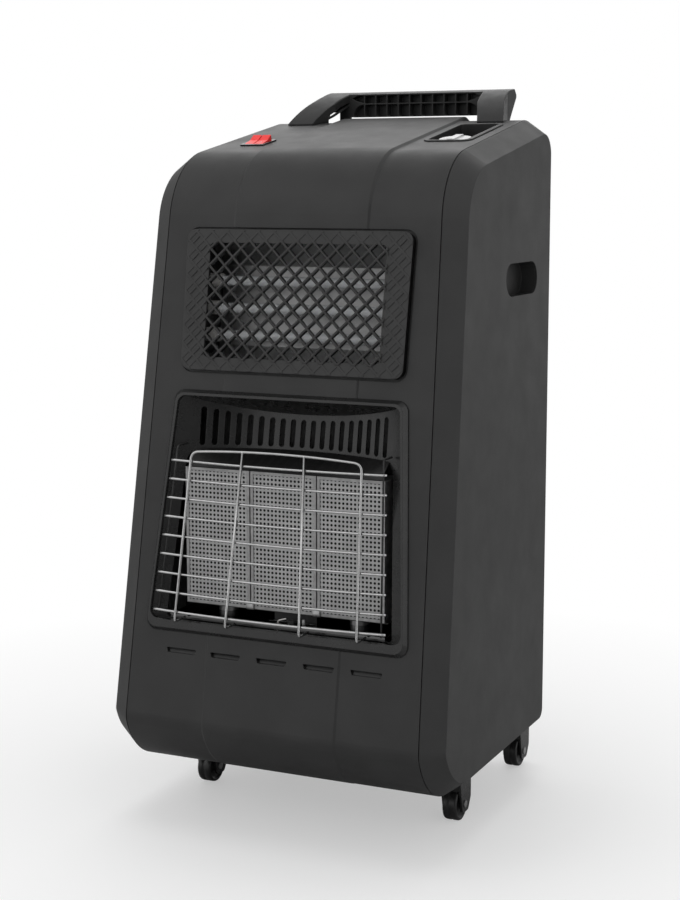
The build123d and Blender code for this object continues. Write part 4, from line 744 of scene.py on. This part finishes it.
def clipGrid(x):
    # a folded strip under the joint between two tiles: its side view is carried across its width
    look = clipLook
    corners = [(0, look["front"], look["high"]), (0, look["front"], look["low"]),
               (0, look["rear"], look["low"])]
    path = bentPath(corners, [look["bend"]], look["bendSteps"])
    grid = np.repeat(path[:, None], look["steps"], axis=1)
    grid[..., 0] = x + look["wide"] * np.linspace(-0.5, 0.5, look["steps"])
    return grid


clips = addPiece("tile_clips", joined("tile_clips", [clipGrid(x) for x in clipLook["x"]], wrap=False),
                 madeFinishes["burner_steel"])
thicken(clips, clipLook["thick"])
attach(clips, "cabinet")
print("clips", len(clipLook["x"]))

# high is half the blade's height; deep is how far its upper and its lower edge lie behind the front
bladeLook = {"x": (-114.0, -57.5, 0.0, 57.5, 114.0), "z": 206.0, "half": 18.6, "high": 4.4,
             "deep": (6.0, 2.0), "curve": 1.4, "thick": 0.8, "cells": (12, 5)}


def bladeGrid(x):
    # a sloping blade behind each slot, whose depth grows upwards by a power curve
    look = bladeLook
    across, share = np.meshgrid(x + look["half"] * np.linspace(-1, 1, look["cells"][0]),
                                np.linspace(0, 1, look["cells"][1]), indexing="ij")
    deep = look["deep"][1] + (look["deep"][0] - look["deep"][1]) * share ** look["curve"]
    z = look["z"] + look["high"] * (2 * share - 1)
    return np.stack([across, frontAt(z) + deep, z], -1)


slopes = [bladeGrid(x) for x in bladeLook["x"]]
blades = addPiece("louvre_blades", joined("louvre_blades", slopes, wrap=False),
                  madeFinishes["cabinet_plastic"])
thicken(blades, bladeLook["thick"])
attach(blades, "cabinet")
print("louvre blades", len(slopes))

# the cabinet's sloping top: Z over the middle, and how much Z grows for each unit of Y
topLook = {"middle": 774.5, "slope": 0.1863}
# start and run are the rocker's front half along the top, low and rise its height over the top there
markLook = {"left": -123.2, "right": -110.8, "y": -5.4, "long": 3.4, "ring": 1.3, "wire": 0.2, "sides": 10,
            "start": -12.0, "run": 14.5, "low": 1.4, "rise": 2.0, "aside": (0.02, -0.2, 1.0),
            "dashSteps": 12, "ringSteps": 33}


def onTop(x, y, w):
    # points on the sloping top, w above its surface; y is measured along the slope
    size = (1 + topLook["slope"] ** 2) ** 0.5
    return np.stack([x + 0 * y, (y - w * topLook["slope"]) / size,
                     topLook["middle"] + (y * topLook["slope"] + w) / size], -1)


def markHeight(y):
    # the rocker's front half rises in a straight line from its front edge to its middle
    return markLook["low"] + (y - markLook["start"]) / markLook["run"] * markLook["rise"]


def markDashGrid(look):
    # a straight tube up the rocker's slope
    y = look["y"] + np.linspace(-0.5, 0.5, look["dashSteps"]) * look["long"]
    return tubeGrid(onTop(look["left"], y, markHeight(y)), look["wire"], look["sides"])


def markRingGrid(look):
    # a tube round a circle on the rocker's slope
    turn = np.linspace(0, 2 * pi, look["ringSteps"])
    y = look["y"] + look["ring"] * np.sin(turn)
    path = onTop(look["right"] + look["ring"] * np.cos(turn), y, markHeight(y))
    return tubeGrid(path, look["wire"], look["sides"], look["aside"])


markDash = addPiece("mark_dash", joined("mark_dash", [markDashGrid(markLook)]),
                    madeFinishes["mark_white"])
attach(markDash, "rocker_left")
markRing = addPiece("mark_ring", joined("mark_ring", [markRingGrid(markLook)]),
                    madeFinishes["mark_white"])
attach(markRing, "rocker_right")
print("marks ready")

# y holds the front and the rear caster's pivot, which each wheel trails; profile is radius and half width
wheelLook = {"x": 160.5, "y": (-67.0, 143.5), "trail": 14.0, "axle": 20.0, "sides": 72,
             "profile": ((3.1, 0.0), (3.1, 7.9), (3.4, 8.3), (6.3, 8.3), (7.0, 7.8), (7.6, 6.2), (14.6, 6.0),
                         (15.4, 6.3), (16.0, 7.9), (16.8, 8.5), (18.2, 8.6), (19.3, 8.1), (19.85, 7.0),
                         (20.0, 5.0), (20.0, 1.6), (19.5, 1.1), (19.5, 0.0))}


def wheelGrid(x, y):
    # a closed profile turned about the axle, mirrored about the wheel's middle
    half = np.array(wheelLook["profile"])
    profile = np.vstack([half, half[::-1][1:] * (1, -1)])
    turn = np.linspace(0, 2 * pi, wheelLook["sides"], endpoint=False)
    radius = profile[:, :1]
    return np.stack([x + profile[:, 1:] + 0 * turn, y + radius * np.cos(turn),
                     wheelLook["axle"] + radius * np.sin(turn)], -1)


for corner in ("front_right", "front_left", "rear_right", "rear_left"):
    wheelX = wheelLook["x"] * (1 if corner.endswith("right") else -1)
    wheelY = wheelLook["y"][0 if corner.startswith("front") else 1] + wheelLook["trail"]
    wheel = addPiece("wheel_" + corner, joined("wheel_" + corner, [wheelGrid(wheelX, wheelY)]),
                     madeFinishes["tyre"])
    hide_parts("caster_wheel_" + corner)
    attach(wheel, "wheel_" + corner)
print("wheels ready")
